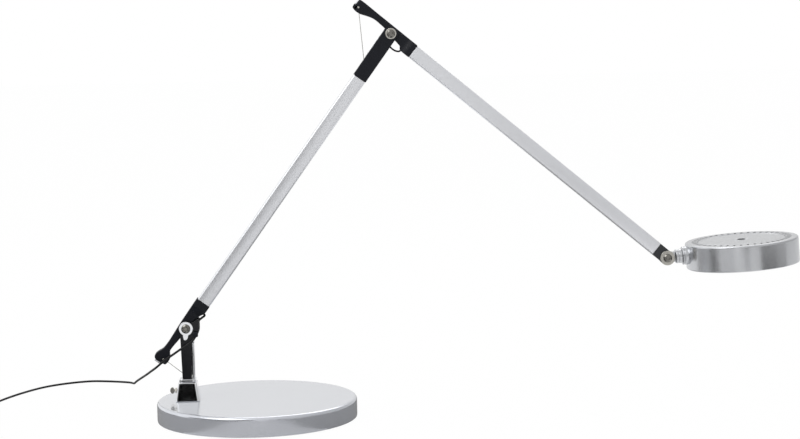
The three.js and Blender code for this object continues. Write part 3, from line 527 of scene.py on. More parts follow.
def makePiece(name, shells, slot, body, replaced=(), material=None, sharp=34):
    # Puts one or more shells into one mesh in metres, finished, slotted and riding on its body.
    points, quads, tris, start = [], [], [], 0
    for shellPoints, shellQuads, shellTris in shells:
        points.append(shellPoints * mm)
        quads.append(shellQuads + start)
        tris.append(shellTris + start)
        start += len(shellPoints)
    mesh = bpy.data.meshes.new(name)
    faces = np.concatenate(quads).tolist() + np.concatenate(tris).tolist()
    mesh.from_pydata(np.concatenate(points).tolist(), [], faces)
    mesh.shade_smooth()
    mesh.set_sharp_from_angle(angle=math.radians(sharp))
    mesh.materials.append(material or finishes[slot])
    piece = bpy.data.objects.new(name, mesh)
    bpy.context.scene.collection.objects.link(piece)
    if replaced:
        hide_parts(*replaced)
    if body:
        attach(piece, body)
    return piece


# The power cord, its adapter and the leads over the joints.

cord = {
    "diameter": 2.6, "restHeight": 1.5,
    "coilCentre": (-345, 62), "turnRadii": (17.2, 14.55, 11.9), "layerHeights": (1.5, 4.15, 6.8, 9.45),
    "noseTip": 50.8, "noseRoot": 37.8,
    "route": [
        (-69.2, -11.2, 96.8), (-69.8, -11.4, 95.6), (-72, -12.1, 93.2), (-76, -12.9, 90.2),
        (-85, -13.2, 84.5), (-96.7, -13, 76.7), (-104.4, -12, 71.4), (-113.5, -8, 63.6),
        (-121.9, 15, 55), (-131.3, 55, 43.7), (-143.2, 110, 29.5), (-154.7, 175, 14),
        (-160.6, 212, 5.2), (-163.4, 228, 2.2), (-168.6, 237.6, 1.5), (-179.3, 243.4, 1.5),
        (-197.9, 250.4, 1.5), (-218.8, 254.2, 1.5), (-244.3, 245.7, 1.5), (-272, 224.6, 1.5),
        (-296.5, 186.6, 1.5), (-316.6, 139.9, 1.5), (-324.2, 112, 1.5), (-327.4, 90, 1.5),
        (-327.8, 80, 1.5), (-327.8, 72.2, 1.5),
    ],
}


def coilPath(c):
    # Clockwise turns, in and out across the layers; the radius and height step on over a third of a turn.
    rows = [c["turnRadii"] if i % 2 == 0 else c["turnRadii"][::-1] for i in range(len(c["layerHeights"]))]
    radii = np.array(rows).ravel()
    levels = np.repeat(c["layerHeights"], len(c["turnRadii"]))
    turns = np.arange(len(radii))
    knots = np.stack([turns + 0.001, turns + 0.67], 1).ravel()
    at = np.linspace(0, len(radii), len(radii) * 60 + 1)
    radius = np.interp(at, knots, np.repeat(radii, 2))
    level = np.interp(at, knots, np.repeat(levels, 2))
    angle = -2 * math.pi * at
    x, y = c["coilCentre"]
    return np.stack([x + radius * np.cos(angle), y + radius * np.sin(angle), level], 1)


def makePowerCord(c):
    x, y = c["coilCentre"]
    side = x + c["turnRadii"][0]
    laid = smoothRoute([*c["route"], (side, y + 3, c["restHeight"]), (side, y, c["restHeight"])], 2)
    coil = coilPath(c)
    # The last run goes on through the strain relief to the board inside the adapter.
    out = np.stack([np.full(20, side), np.linspace(y - 1.5, c["noseRoot"] - 20, 20),
                    np.full(20, c["layerHeights"][-1])], 1)
    path = evenly(np.concatenate([laid[:-1], coil, out]), 1.9)
    piece = makePiece("powerCord", [tube(path, c["diameter"] / 2, 12)], "cord_black", None,
                      ["power_cord", "cord_coil"])
    length = float(np.linalg.norm(np.diff(path, axis=0), axis=1).sum())
    # The cord follows the turning post down to below the arm's tail, then eases onto the table.
    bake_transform(piece)
    print("power cord", round(length), "mm")
    return piece, path, length


def makeAdapter(c):
    x = c["coilCentre"][0] + c["turnRadii"][0]
    low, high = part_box("power_adapter")
    back = -12.2
    halfX, front = (high.x - low.x) / 2 / mm, c["noseRoot"]
    top = high.z / mm
    mid, halfY = (front + back) / 2, (front - back) / 2
    seam = 0.62 * top
    profile = rounded([(0.5, 0.2), (halfX - 0.6, 0.2), (halfX, 6), (halfX, seam - 0.35),
                       (halfX - 0.5, seam - 0.3),
                       (halfX - 0.5, seam + 0.3), (halfX, seam + 0.35), (halfX - 0.7, top), (0.5, top)],
                      2.2)
    a, b = squareSection(profile[:, 0], profile[:, 0] + (halfY - halfX), np.minimum(5, profile[:, 0] * 0.9))
    z = np.broadcast_to(profile[:, 1:2], a.shape)
    body = ringShell(np.stack([x + a, mid + b, z], -1))
    ribs = np.linspace(0, 1, 53)
    length = c["noseTip"] - c["noseRoot"]
    radius = 3.3 - 1.4 * ribs - 0.28 * (np.cos(ribs * 7 * 2 * math.pi) > 0.2) * (ribs > 0.12) * (ribs < 0.95)
    nosePath = np.stack([np.full(53, x), front - 0.4 + (length + 0.4) * ribs,
                         np.full(53, c["layerHeights"][-1])], 1)
    nose = tube(nosePath, radius, 24)
    pins = [
        moved(turned(rounded([(0.5, back + 1), (2.4, back + 1), (2.4, low.y / mm), (0.5, low.y / mm)], 0.8),
                     "y", 32),
              (x + offset, 0, (top - 0.2) / 2))
        for offset in (-9.5, 9.5)
    ]
    housing = makePiece("powerAdapter", [body, *pins], "black_plastic", "base", ["power_adapter"])
    relief = makePiece("adapterStrainRelief", [nose], "cord_black", "base")
    return housing, relief


powerCord, cordPath, cordLength = makePowerCord(cord)
adapter, strainRelief = makeAdapter(cord)


def onArm(origin, turn, along, across, y=0.0):
    return (origin[0] + along * math.cos(turn) - across * math.sin(turn), y,
            origin[2] + along * math.sin(turn) + across * math.cos(turn))


def makeLeads():
    pivotRoute = [onArm(pivot, lowerTurn, 24.5, -4.5), onArm(pivot, lowerTurn, 24.5, -5.6),
                  onArm(pivot, lowerTurn, 23.7, -9.2), (-61.4, -0.2, 117.6), (-66.4, -0.8, 113.2),
                  (-68.3, -2, 108.6), (-68.6, -3.2, 104.6), (-68.6, -4.4, 101.2)]
    path = smoothRoute(pivotRoute, 0.8)
    lead = makePiece("pivotLead", [tube(path, 1.3, 16, (0, 1, 0.3))], "cord_black", None, ["pivot_lead"])
    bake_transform(lead)
    elbowRoute = [onArm(elbow, lowerTurn, -12.2, -5), onArm(elbow, lowerTurn, -12.2, -6.4),
                  (163.6, 0, 421.2),
                  (168, 0, 418.4), onArm(elbow, upperTurn, 20.5, -9.2), onArm(elbow, upperTurn, 20.5, -4.6)]
    path = smoothRoute(elbowRoute, 0.8)
    lead = makePiece("elbowLead", [tube(path, 1.0, 16, (0, 1, 0))], "cord_black", None, ["elbow_lead"])
    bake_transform(lead)


def makeWires():
    runs = {
        "lower": (onArm(pivot, lowerTurn, *lowerPin), (pivot[0] - 4.4, 0, 53.2), "post", "lower_arm"),
        "upper": (onArm(elbow, upperTurn, *upperPin), onArm(elbow, lowerTurn, -46, 4.2), "lower_arm",
                  "upper_arm"),
    }
    for side, (start, end, still, turning) in runs.items():
        path = evenly(np.array([start, end]), 1.5)
        wire = makePiece(f"{side}Wire", [tube(path, 0.35, 10, (0, 1, 0))], "nickel_steel", None,
                         [f"{side}_wire"])
        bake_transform(wire)


makeLeads()
makeWires()
print("cord, leads and wires ready")


# The base, its socket and the thumb screw.

base = {"edgeRound": 4.5, "wall": 2.5, "beadHeight": 1.2}


def makeBase(b):
    low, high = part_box("base_cover")
    radius, top, foot = (high.x - low.x) / 2 / mm, high.z / mm, low.z / mm
    inner = radius - b["wall"]
    outline = [(0.5, top), (radius, top), (radius, foot + b["beadHeight"] + 0.5),
               (radius - 0.25, foot + b["beadHeight"]),
               (radius - 0.25, foot), (inner, foot), (inner, top - b["wall"]), (0.5, top - b["wall"])]
    edge = rounded(outline, 0.4)
    shoulder = rounded([(0.5, top), (radius, top), (radius, top - 12)], b["edgeRound"], 14)
    below = edge[edge[:, 1] < top - 12.5]
    profile = np.concatenate([np.stack([np.linspace(0.5, radius - 6, 12), np.full(12, top)], 1),
                              shoulder[1:-1],
                              [(radius, top - 12.4)], below,
                              [(inner, top - b["wall"]), (0.5, top - b["wall"])]])
    cover = turned(profile, "z", 288)
    makePiece("baseCover", [cover], "silver_lacquer", "base", ["base_cover"])
    low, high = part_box("base_pad")
    radius, top = (high.x - low.x) / 2 / mm, high.z / mm
    grooves = np.arange(20, radius - 6, 9.0)
    dips = np.stack([np.stack([grooves + d, np.full(len(grooves), h)], 1)
                     for d, h in ((-1, 0), (-0.6, 0.5), (0.6, 0.5), (1, 0))], 1).reshape(-1, 2)
    pad = rounded([(1, top), (radius, top), (radius, 0), *dips[::-1].tolist(), (1, 0)], 0.4, 2)
    makePiece("basePad", [turned(pad, "z", 192)], "pad_rubber", "base", ["base_pad"])


socket = {"footHalf": 13.8, "topHalf": 10.6, "corner": 2.4, "bore": 5.1}


def makeSocket(s):
    low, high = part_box("socket")
    foot, top = low.z / mm, high.z / mm
    profile = rounded([(6, foot - 0.25), (s["footHalf"], foot - 0.25), (s["topHalf"], top),
                       (s["bore"] + 2, top)], 0.7)
    post = (pivot[0], 0)
    makePiece("socketBody", [squareStack(profile, s["corner"], post)], "chrome", "base", ["socket"])
    makePiece("thumbScrewNut", [turned(rounded([(2.6, -2.1, 0), (3.3, -2.0, 1), (3.3, -0.1, 1),
                                                (2.6, 0, 0)], 0.2),
                                       "x", 48, centre=(pivot[0] - 12.8, 0, 34.3))],
              "nickel_steel", "base", ["thumb_screw_nut"])


def makeThumbScrew():
    angle = np.linspace(0, 2 * math.pi, 48, endpoint=False)
    spade = np.stack([-18.2 + 2.6 * np.cos(angle), 3.9 * np.sin(angle)], 1)
    head = plate(spade, -1.1, 1.1, bevel=0.7, steps=5)
    thread = np.linspace(0, 1, 121)
    path = np.stack([-17 + 11.9 * thread, 0 * thread, 0 * thread], 1)
    shank = tube(path, 1.42 + 0.12 * np.cos(thread * 24 * 2 * math.pi), 20)
    screw = [moved(shell, (pivot[0], 0, 34.3)) for shell in (head, shank)]
    makePiece("thumbScrew", screw, "nickel_steel", "thumb_screw", ["thumb_screw"])


makeBase(base)
makeSocket(socket)
makeThumbScrew()
print("base ready")


# Fasteners.

def hexBolt(headRadius, headStart, headEnd, shankEnd, socketRadius, shankRadius=3.0):
    # A socket screw along Y: round head with a broad chamfer, hexagon recess, plain shank.
    depth = min(1.5, (headEnd - headStart) * 0.6)
    profile = [(socketRadius * 0.6, headStart + depth, 1), (socketRadius * 1.12, headStart + depth, 1),
               (socketRadius * 1.12, headStart + 0.15, 1), (socketRadius * 1.3, headStart, 0),
               (headRadius * 0.6, headStart, 0), (headRadius * 0.63, headStart + 0.3, 0),
               (headRadius * 0.68, headStart + 0.1, 0), (headRadius - 0.1, headStart + 1.3, 0),
               (headRadius, headStart + 1.6, 0), (headRadius, headEnd, 0),
               (shankRadius, headEnd, 0), (shankRadius, shankEnd - 0.5, 0),
               (shankRadius - 0.5, shankEnd, 0),
               (0.6, shankEnd, 0)]
    return turned(rounded(profile, 0.25, 3), "y", 96)


def washer(outer, inner, y0, y1, softness=0.3):
    corners = [(inner, (y0 + y1) / 2), (inner, y0), (outer, y0), (outer, y1), (inner, y1),
               (inner, (y0 + y1) / 2)]
    return turned(rounded(corners, softness, 4)[:-1], "y", 96, loop=True)


def hexNut(across, bore, y0, y1):
    flat = across * 0.9
    corners = [(bore, (y0 + y1) / 2, 0), (bore, y0 + 0.3, 0), (bore + 0.4, y0, 0), (flat - 0.2, y0, 0),
               (across, y0 + 0.5, 1), (across, y1 - 0.5, 1), (flat - 0.2, y1, 0), (bore + 0.4, y1, 0),
               (bore, y1 - 0.3, 0), (bore, (y0 + y1) / 2, 0)]
    return turned(rounded(corners, 0.12, 2)[:-1], "y", 96, loop=True)


def fasten(shells, origin, turn, name, slot, body, replaced, material=None):
    return makePiece(name, [moved(s, origin, turn) for s in shells], slot, body, [replaced], material)


# The post.

post = {"coverIn": 6.2, "coverOut": 8.4, "foot": 48.7, "left": -6.9, "leftFoot": -5.6, "rightFoot": 5.0,
        "right": 5.75, "waist": 90.8}


def quadratic(start, control, end, count=10):
    t = np.linspace(0, 1, count + 1)[1:, None]
    return (1 - t) ** 2 * np.array(start) + 2 * t * (1 - t) * np.array(control) + t**2 * np.array(end)


def coverOutline(p):
    # Slightly tapered below, a heel to the front above, and round over the pivot.
    top = pivot[2]
    corners = [(p["leftFoot"], p["foot"]), (p["rightFoot"], p["foot"]), (p["right"], p["waist"])]
    heel = [quadratic(corners[-1], (8.6, 92.6), (11.4, 96.4), 6),
            quadratic((11.4, 96.4), (15.1, 101.4), (15.1, 107)),
            [(15.1, 116)], quadratic((15.1, 116), (15.1, 118.8), (12.6, 117.2), 6),
            quadratic((12.6, 117.2), (9, 114.6), (5.9, 113.3), 6)]
    crown = circle(8.6, (0, top), 30, 0.86, math.pi * 1.19)
    return np.concatenate([corners, *heel, crown, [(p["left"], 99)]])


def makePost(p):
    shift = (pivot[0], 0, 0)
    bore = circle(3.4, (0, pivot[2]), 40)
    outline = coverOutline(p)
    front = plate(outline, -p["coverOut"], -p["coverIn"], [bore], 0.55, 4)
    back = plate(outline, p["coverIn"], p["coverOut"], [bore[::-1]], 0.55, 4)
    makePiece("postFrontCover", [moved(front, shift)], "gloss_black", "post", ["post_front_cover"])
    makePiece("postBackCover", [moved(back, shift)], "gloss_black", "post", ["post_back_cover"])
    low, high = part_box("post_web")
    x0, x1, z0, z1 = (v / mm for v in (low.x, high.x, low.z, high.z))
    profile = rounded([(0.4, z0), (1.45, z0), (1.45, z1), (0.4, z1)], 0.5)
    halfY = high.y / mm
    a, b = squareSection(profile[:, 0], profile[:, 0] + halfY - 1.45, np.minimum(1.3, profile[:, 0] * 0.9))
    z = np.broadcast_to(profile[:, 1:2], a.shape)
    web = ringShell(np.stack([(x0 + x1) / 2 + a, b, z], -1))
    makePiece("postWeb", [web], "chrome", "post", ["post_web"])
    low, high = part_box("post_collar")
    z0, z1 = low.z / mm, high.z / mm
    half = (high.x - low.x) / 2 / mm
    profile = rounded([(5.5, z0), (half, z0), (half, z1), (5.5, z1)], 1.1, 6)
    makePiece("postCollar", [squareStack(profile, 3.4, (pivot[0], 0))], "chrome", "post", ["post_collar"])
    tab = np.concatenate([circle(8, (0, 0), 70, -1.244, math.pi * 2 - 2.07),
                          [(-3.7, -9.4), (-3.4, -10.4)], quadratic((-3.4, -10.4), (-3.1, -13.2),
                                                                   (-2.0, -13.2), 5),
                          [(-0.4, -13.2)], quadratic((-0.4, -13.2), (1.0, -12.9), (2.2, -10.2), 5),
                          [(2.4, -9)]])
    washerPlate = plate(tab, -9.7, -8.6, [circle(3.4, (0, 0), 40)], 0.35, 4)
    fasten([washerPlate], pivot, 0, "lowerPivotTabWasher", "chrome", "post", "lower_pivot_tab_washer")
    bolt = hexBolt(5.2, -12.6, -9.8, 12.8, 2.1)
    fasten([bolt], pivot, 0, "lowerPivotBolt", "nickel_steel", "post", "lower_pivot_bolt", boltNickelPaintedShade)
    for side, y0, y1 in (("Front", -6.1, -5.3), ("Back", 5.3, 6.1)):
        fasten([washer(7, 3.4, y0, y1)], pivot, 0, f"lowerFrictionWasher{side}", "nylon", "post",
               f"lower_friction_washer_{side.lower()}")
    fasten([hexNut(5.6, 3.1, 8.7, 12.4)], pivot, 0, "lowerPivotNut", "nickel_steel", "post",
           "lower_pivot_nut")
    low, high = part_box("cord_clip")
    centre = [(low[i] + high[i]) / 2 / mm for i in range(3)]
    half = [(high[i] - low[i]) / 2 / mm for i in range(3)]
    depth = rounded([(0.4, -half[1]), (half[0], -half[1]), (half[0], half[1]), (0.4, half[1])], 1.2)
    a, b = squareSection(depth[:, 0], depth[:, 0], np.minimum(1.6, depth[:, 0] * 0.9))
    y = np.broadcast_to(depth[:, 1:2], a.shape)
    clip = ringShell(np.stack([centre[0] + a, centre[1] + y, centre[2] + b], -1))
    makePiece("cordClip", [clip], "black_plastic", "post", ["cord_clip"])


makePost(post)
print("post ready")


# The arms.

arm = {"tubeHalfY": 8.0, "tubeHalfZ": 8.2, "wall": 1.4, "corner": 2.0, "crown": 0.3, "tongueHalf": 5.2,
       "lowerTube": (35.8, 348), "upperTube": (32.5, 393.5), "lowerTail": -49.2, "upperTail": -51.2,
       "hub": 7.5}


def armTube(x0, x1, a):
    # A hollow square tube with round corners and slightly crowned sides, chamfered at both mouths.
    outerY, outerZ = squareSection(a["tubeHalfY"] - a["crown"], a["tubeHalfZ"] - a["crown"], a["corner"],
                                   a["crown"],
                                   8, np.linspace(0.02, 0.98, 13))
    innerScale = (a["tubeHalfZ"] - a["wall"]) / a["tubeHalfZ"]
    chamfer = 0.25
    edgeScale = 1 - chamfer / a["tubeHalfZ"]
    stations = np.linspace(x0 + 2, x1 - 2, 40)
    x = np.concatenate([[x0, x0 + 0.05, x0 + chamfer, x0 + 0.5], stations,
                        [x1 - 0.5, x1 - chamfer, x1 - 0.05, x1],
                        [x1, x1 - chamfer, x0 + chamfer, x0]])
    scale = np.concatenate([[edgeScale, edgeScale + 0.01, 1, 1], np.ones(40),
                            [1, 1, edgeScale + 0.01, edgeScale],
                            [innerScale + 0.02, innerScale, innerScale, innerScale + 0.02]])
    rings = np.stack([np.broadcast_to(x[:, None], (len(x), outerY.shape[-1])), scale[:, None] * outerY,
                      scale[:, None] * outerZ], -1)
    return ringShell(rings, loop=True)


def endPiece(topLine, bottomLine, tailEnd, tubeStart, shoulder, a):
    # The hinged end: a tongue between two lines that widens into the shoulder at the tube, and a plug.
    x = np.linspace(tailEnd, tubeStart - 0.1, 260)
    hub = np.where(np.abs(x) < a["hub"], -np.sqrt(np.maximum(a["hub"] ** 2 - x**2, 0)), 99)
    bottom = np.minimum(heights(bottomLine, x), hub)
    widen = np.clip((x - shoulder + 4) / 9, 0, 1)
    halfY = a["tongueHalf"] + (a["tubeHalfY"] - a["tongueHalf"]) * widen**2 * (3 - 2 * widen)
    body = loft(x, heights(topLine, x), bottom, halfY, 1.3, 0.5)
    inside = a["tubeHalfY"] - a["wall"] - 0.3
    plug = loft(np.array([tubeStart - 1, tubeStart + 8, tubeStart + 16]), inside + 0.2, -inside - 0.2,
                inside, 1.0, 0.8)
    return [body, plug]


def tailPin(place, y=6.1):
    profile = [(0.3, -y), (1.0, -y), (1.3, -y + 0.4), (1.3, y - 0.4), (1.0, y), (0.3, y)]
    return turned(rounded(profile, 0.2, 3), "y", 40, centre=(place[0], 0, place[1]))


def tailCap(bottom, top, tailEnd, a):
    x = np.array([tailEnd - 1.7, tailEnd - 0.9, tailEnd - 0.1])
    return loft(x, top, bottom, a["tongueHalf"], 0.8, 0.35)


def spring(start, length, radius, wire, turns):
    # A close helix.
    at = np.linspace(0, 1, turns * 28 + 1)
    angle = at * turns * 2 * math.pi
    path = np.stack([start + length * at, radius * np.cos(angle), radius * np.sin(angle)], 1)
    return tube(path, wire / 2, 10, (1, 0, 0))


def makeLowerArm(a):
    top = [(-49.4, 9.0), (-48, 10.9), (-44.5, 12.1), (-39.5, 10.8), (-35, 8.7), (-27, 7.8), (0, 8.8),
           (26, 9.2),
           (36, 9.2)]
    bottom = [(-49.4, -1), (-48.4, -3.9), (-44.5, -5), (-38.4, -4.3), (-36, -2), (-33, 0), (-29, 0.4),
              (-13.6, -1),
              (-7.5, -1.4), (7.2, -2), (15, -3.2), (20.5, -5.2), (24, -7), (27, -8), (36, -8.2)]
    x0, x1 = a["lowerTube"]
    origin, turn = pivot, lowerTurn

    def put(name, shells, slot, replaced, **more):
        makePiece(name, [moved(s, origin, turn) for s in shells], slot, "lower_arm", replaced, **more)

    put("lowerFoot", endPiece(top, bottom, a["lowerTail"], x0 - 0.2, 23, a), "black_plastic",
        ["lower_foot"])
    put("lowerTailCap", [tailCap(1.4, 9.2, a["lowerTail"] - 0.2, a)], "satin_aluminium", ["lower_tail_cap"])
    put("lowerTailPin", [tailPin(lowerPin)], "nickel_steel", ["lower_tail_pin"])
    put("lowerTube", [armTube(x0, x1, a)], "satin_aluminium", ["lower_tube"], material=lowerSatin)
    put("lowerSpring", [spring(x0 + 40, 150, 4.2, 1.4, 32)], "nickel_steel", ["lower_spring"])

    half = a["tubeHalfZ"]
    start, length = x1 + 0.3, armLength
    cheek = np.concatenate([[(start, -half)], [(length - 2, -half)],
                            circle(8.4, (length, 0), 40, -1.75, 1.75),
                            [(length - 2, half), (start, half)]])
    bore = circle(3.4, (length, 0), 40)
    block = loft(np.linspace(start, x1 + 12, 14), half - 0.1, 0.1 - half, a["tubeHalfY"] - 0.1, 1.2, 0.5)
    web = loft(np.linspace(start + 2, length - 16, 20), -half + 2.2, -half + 0.05, 7.5, 0.5, 0.6)
    inside = a["tubeHalfY"] - a["wall"] - 0.3
    plug = loft(np.array([x1 - 16, x1 - 8, x1 + 1]), inside + 0.2, -inside - 0.2, inside, 1.0, 0.8)
    fork = [plate(cheek, -8.4, -6.2, [bore], 0.6, 4), plate(cheek, 6.2, 8.4, [bore[::-1]], 0.6, 4), block,
            web, plug]
    put("lowerHead", fork, "black_plastic", ["lower_head"])
    strip = loft(np.linspace(length - 37, length - 9.6, 10), half + 1.2, half + 0.3, 1.0, 0.3, 0.3)
    strip = (strip[0] + np.array([0, -7.3, 0]), strip[1], strip[2])
    put("elbowEdgeStrip", [strip], "chrome", ["elbow_edge_strip"])

    origin = elbow
    put("elbowWasher", [washer(6.3, 3.4, -9.5, -8.6, 0.4)], "nickel_steel", ["elbow_washer"])
    put("elbowBolt", [hexBolt(4.8, -12, -9.5, 12.6, 1.9)], "nickel_steel", ["elbow_bolt"],
        material=boltNickelPaintedShade)
    put("elbowFrictionWasherFront", [washer(7, 3.4, -6.1, -5.3)], "nylon", ["elbow_friction_washer_front"])
    put("elbowFrictionWasherBack", [washer(7, 3.4, 5.3, 6.1)], "nylon", ["elbow_friction_washer_back"])
    put("elbowNut", [hexNut(5.4, 3.1, 8.7, 12.2)], "nickel_steel", ["elbow_nut"])


def makeUpperArm(a):
    top = [(-51.4, 7.9), (-48.4, 8.4), (-20, 8.5), (24, 8.6), (33, 8.6)]
    bottom = [(-51.4, -4.2), (-49.4, -5), (-46.9, -5.3), (-41, -4.7), (-33, -1.6), (-27, 0.3), (-22, 0.9),
              (-8, 0.2),
              (-7.4, 0), (7, -2.8), (14.6, -4), (17, -4.6), (19.4, -7.4), (21, -8), (24, -8.2), (33, -8.2)]
    x0, x1 = a["upperTube"]
    origin, turn = elbow, upperTurn

    def put(name, shells, slot, replaced, **more):
        makePiece(name, [moved(s, origin, turn) for s in shells], slot, "upper_arm", replaced, **more)

    tail = a["upperTail"]
    lipX = np.linspace(tail - 1.8, tail + 3.2, 12)
    lipBottom = heights([(-53.2, -1.4), (-52.5, -3.5), (-51, -4.6), (-46.9, -5.2)], lipX)
    lip = loft(lipX, 0.9, lipBottom, a["tongueHalf"], 0.8, 0.4)
    put("upperRear", [*endPiece(top, bottom, tail, x0 - 0.2, 23, a), lip], "black_plastic", ["upper_rear"])
    put("upperTailCap", [tailCap(1.3, 8, tail, a)], "satin_aluminium", ["upper_tail_cap"])
    put("upperTailPin", [tailPin(upperPin)], "nickel_steel", ["upper_tail_pin"])
    put("upperTube", [armTube(x0, x1, a)], "satin_aluminium", ["upper_tube"], material=upperSatin)
    put("upperSpring", [spring(x0 + 40, 150, 4.2, 1.4, 32)], "nickel_steel", ["upper_spring"])

    half = a["tubeHalfZ"] - 0.4
    start, length = x1 + 0.3, armLength
    cheek = np.concatenate([[(start, -half), (length - 4, -half)],
                            circle(8.2, (length, 0), 40, -1.85, 1.85),
                            [(length - 4, half), (start, half)]])
    bore = circle(3.4, (length, 0), 40)
    block = loft(np.linspace(start, x1 + 6, 10), half - 0.1, 0.1 - half, 7.0, 1.0, 0.5)
    inside = a["tubeHalfY"] - a["wall"] - 0.3
    plug = loft(np.array([x1 - 14, x1 - 7, x1 + 1]), inside + 0.2, -inside - 0.2, inside, 1.0, 0.8)
    fork = [plate(cheek, -7.2, -4.3, [bore], 0.6, 4), plate(cheek, 4.3, 7.2, [bore[::-1]], 0.6, 4), block,
            plug]
    put("upperFork", fork, "dark_grey", ["upper_fork"])
    origin = wrist
    put("headPivotWasher", [washer(8.5, 3.4, -8.7, -7.4, 0.5)], "nickel_steel", ["head_pivot_washer"])
    put("headPivotScrew", [hexBolt(5, -11, -8.7, 11.6, 1.8)], "nickel_steel", ["head_pivot_screw"],
        material=boltNickelPaintedShade)
    put("headPivotNut", [hexNut(5.2, 3.1, 7.5, 11.2)], "nickel_steel", ["head_pivot_nut"])


makeLowerArm(arm)
makeUpperArm(arm)
print("arms ready")


# The head.

head = {"radius": 65, "top": 14, "bottom": -15.8, "centre": 88.4, "drop": 1, "capRadius": 50,
        "ventCount": 44,
        "ventIn": 51.6, "ventOut": 57.2, "ventWidth": 2.4, "wall": 2.0, "neck": 8.2, "collar": 10.6}
headCentre = np.array(onArm(wrist, headTurn, head["centre"], -head["drop"]))


def putHead(name, shells, slot, replaced, body="head"):
    return makePiece(name, [moved(s, headCentre, headTurn) for s in shells], slot, body, replaced)


def makeHousing(h):
    # The skin is a profile turned about Z on columns that line up with the vents, whose cells stay open.
    columns = 8
    pitch = 2 * math.pi / h["ventCount"]
    halfVent = h["ventWidth"] / ((h["ventIn"] + h["ventOut"]) / 2) / 2
    cell = np.concatenate([np.linspace(-halfVent, halfVent, 3),
                           np.linspace(halfVent, pitch - halfVent, 7)[1:-1]])
    angle = (np.arange(h["ventCount"])[:, None] * pitch + pitch / 2 + cell[None, :columns]).ravel()
    r, top, bottom = h["radius"], h["top"], h["bottom"]
    shoulder = rounded([(60, top), (r, top), (r, 0)], 2.6, 8)[1:-1]
    lip = rounded([(r, -6), (r, bottom + 1.0), (r - 0.5, bottom + 0.3), (r - 2.4, bottom)], 0.6, 3)[1:]
    flat = np.array([(h["capRadius"] + 0.4, top - 1.6), (h["capRadius"] + 0.4, top - 0.25),
                     (h["capRadius"] + 0.7, top),
                     (h["ventIn"], top), (h["ventOut"], top), (h["ventOut"] + 0.6, top)])
    profile = np.concatenate([flat, shoulder, np.stack([np.full(9, r), np.linspace(8, bottom + 2.4, 9)], 1),
                              lip])
    rings = np.stack([profile[:, :1] * np.cos(angle), profile[:, :1] * np.sin(angle),
                      np.broadcast_to(profile[:, 1:], (len(profile), len(angle)))], -1)
    count, around = rings.shape[:2]
    row, col = np.arange(count - 1)[:, None], np.arange(around)[None]
    beside = (col + 1) % around
    quads = np.stack([row * around + col, (row + 1) * around + col, (row + 1) * around + beside,
                      row * around + beside], -1)
    openCells = (row == 3) & ((col % columns) < 2)
    quads = quads[~openCells]
    shell = (rings.reshape(-1, 3), quads, np.zeros((0, 3), int))
    piece = putHead("headHousing", [shell], "head_silver", ["head_housing"])
    wall = piece.modifiers.new("wall", "SOLIDIFY")
    wall.thickness = h["wall"] * mm
    wall.offset = -1
    # The inside and the walls of the vents take the black plastic finish: painted shade, so the vents read
    # dark.
    piece.data.materials.append(finishes["black_plastic"])
    wall.material_offset = wall.material_offset_rim = 1
    soften = piece.modifiers.new("soften", "BEVEL")
    soften.width = 0.00015
    soften.segments = 2
    soften.limit_method = "ANGLE"
    soften.angle_limit = math.radians(50)
    return piece


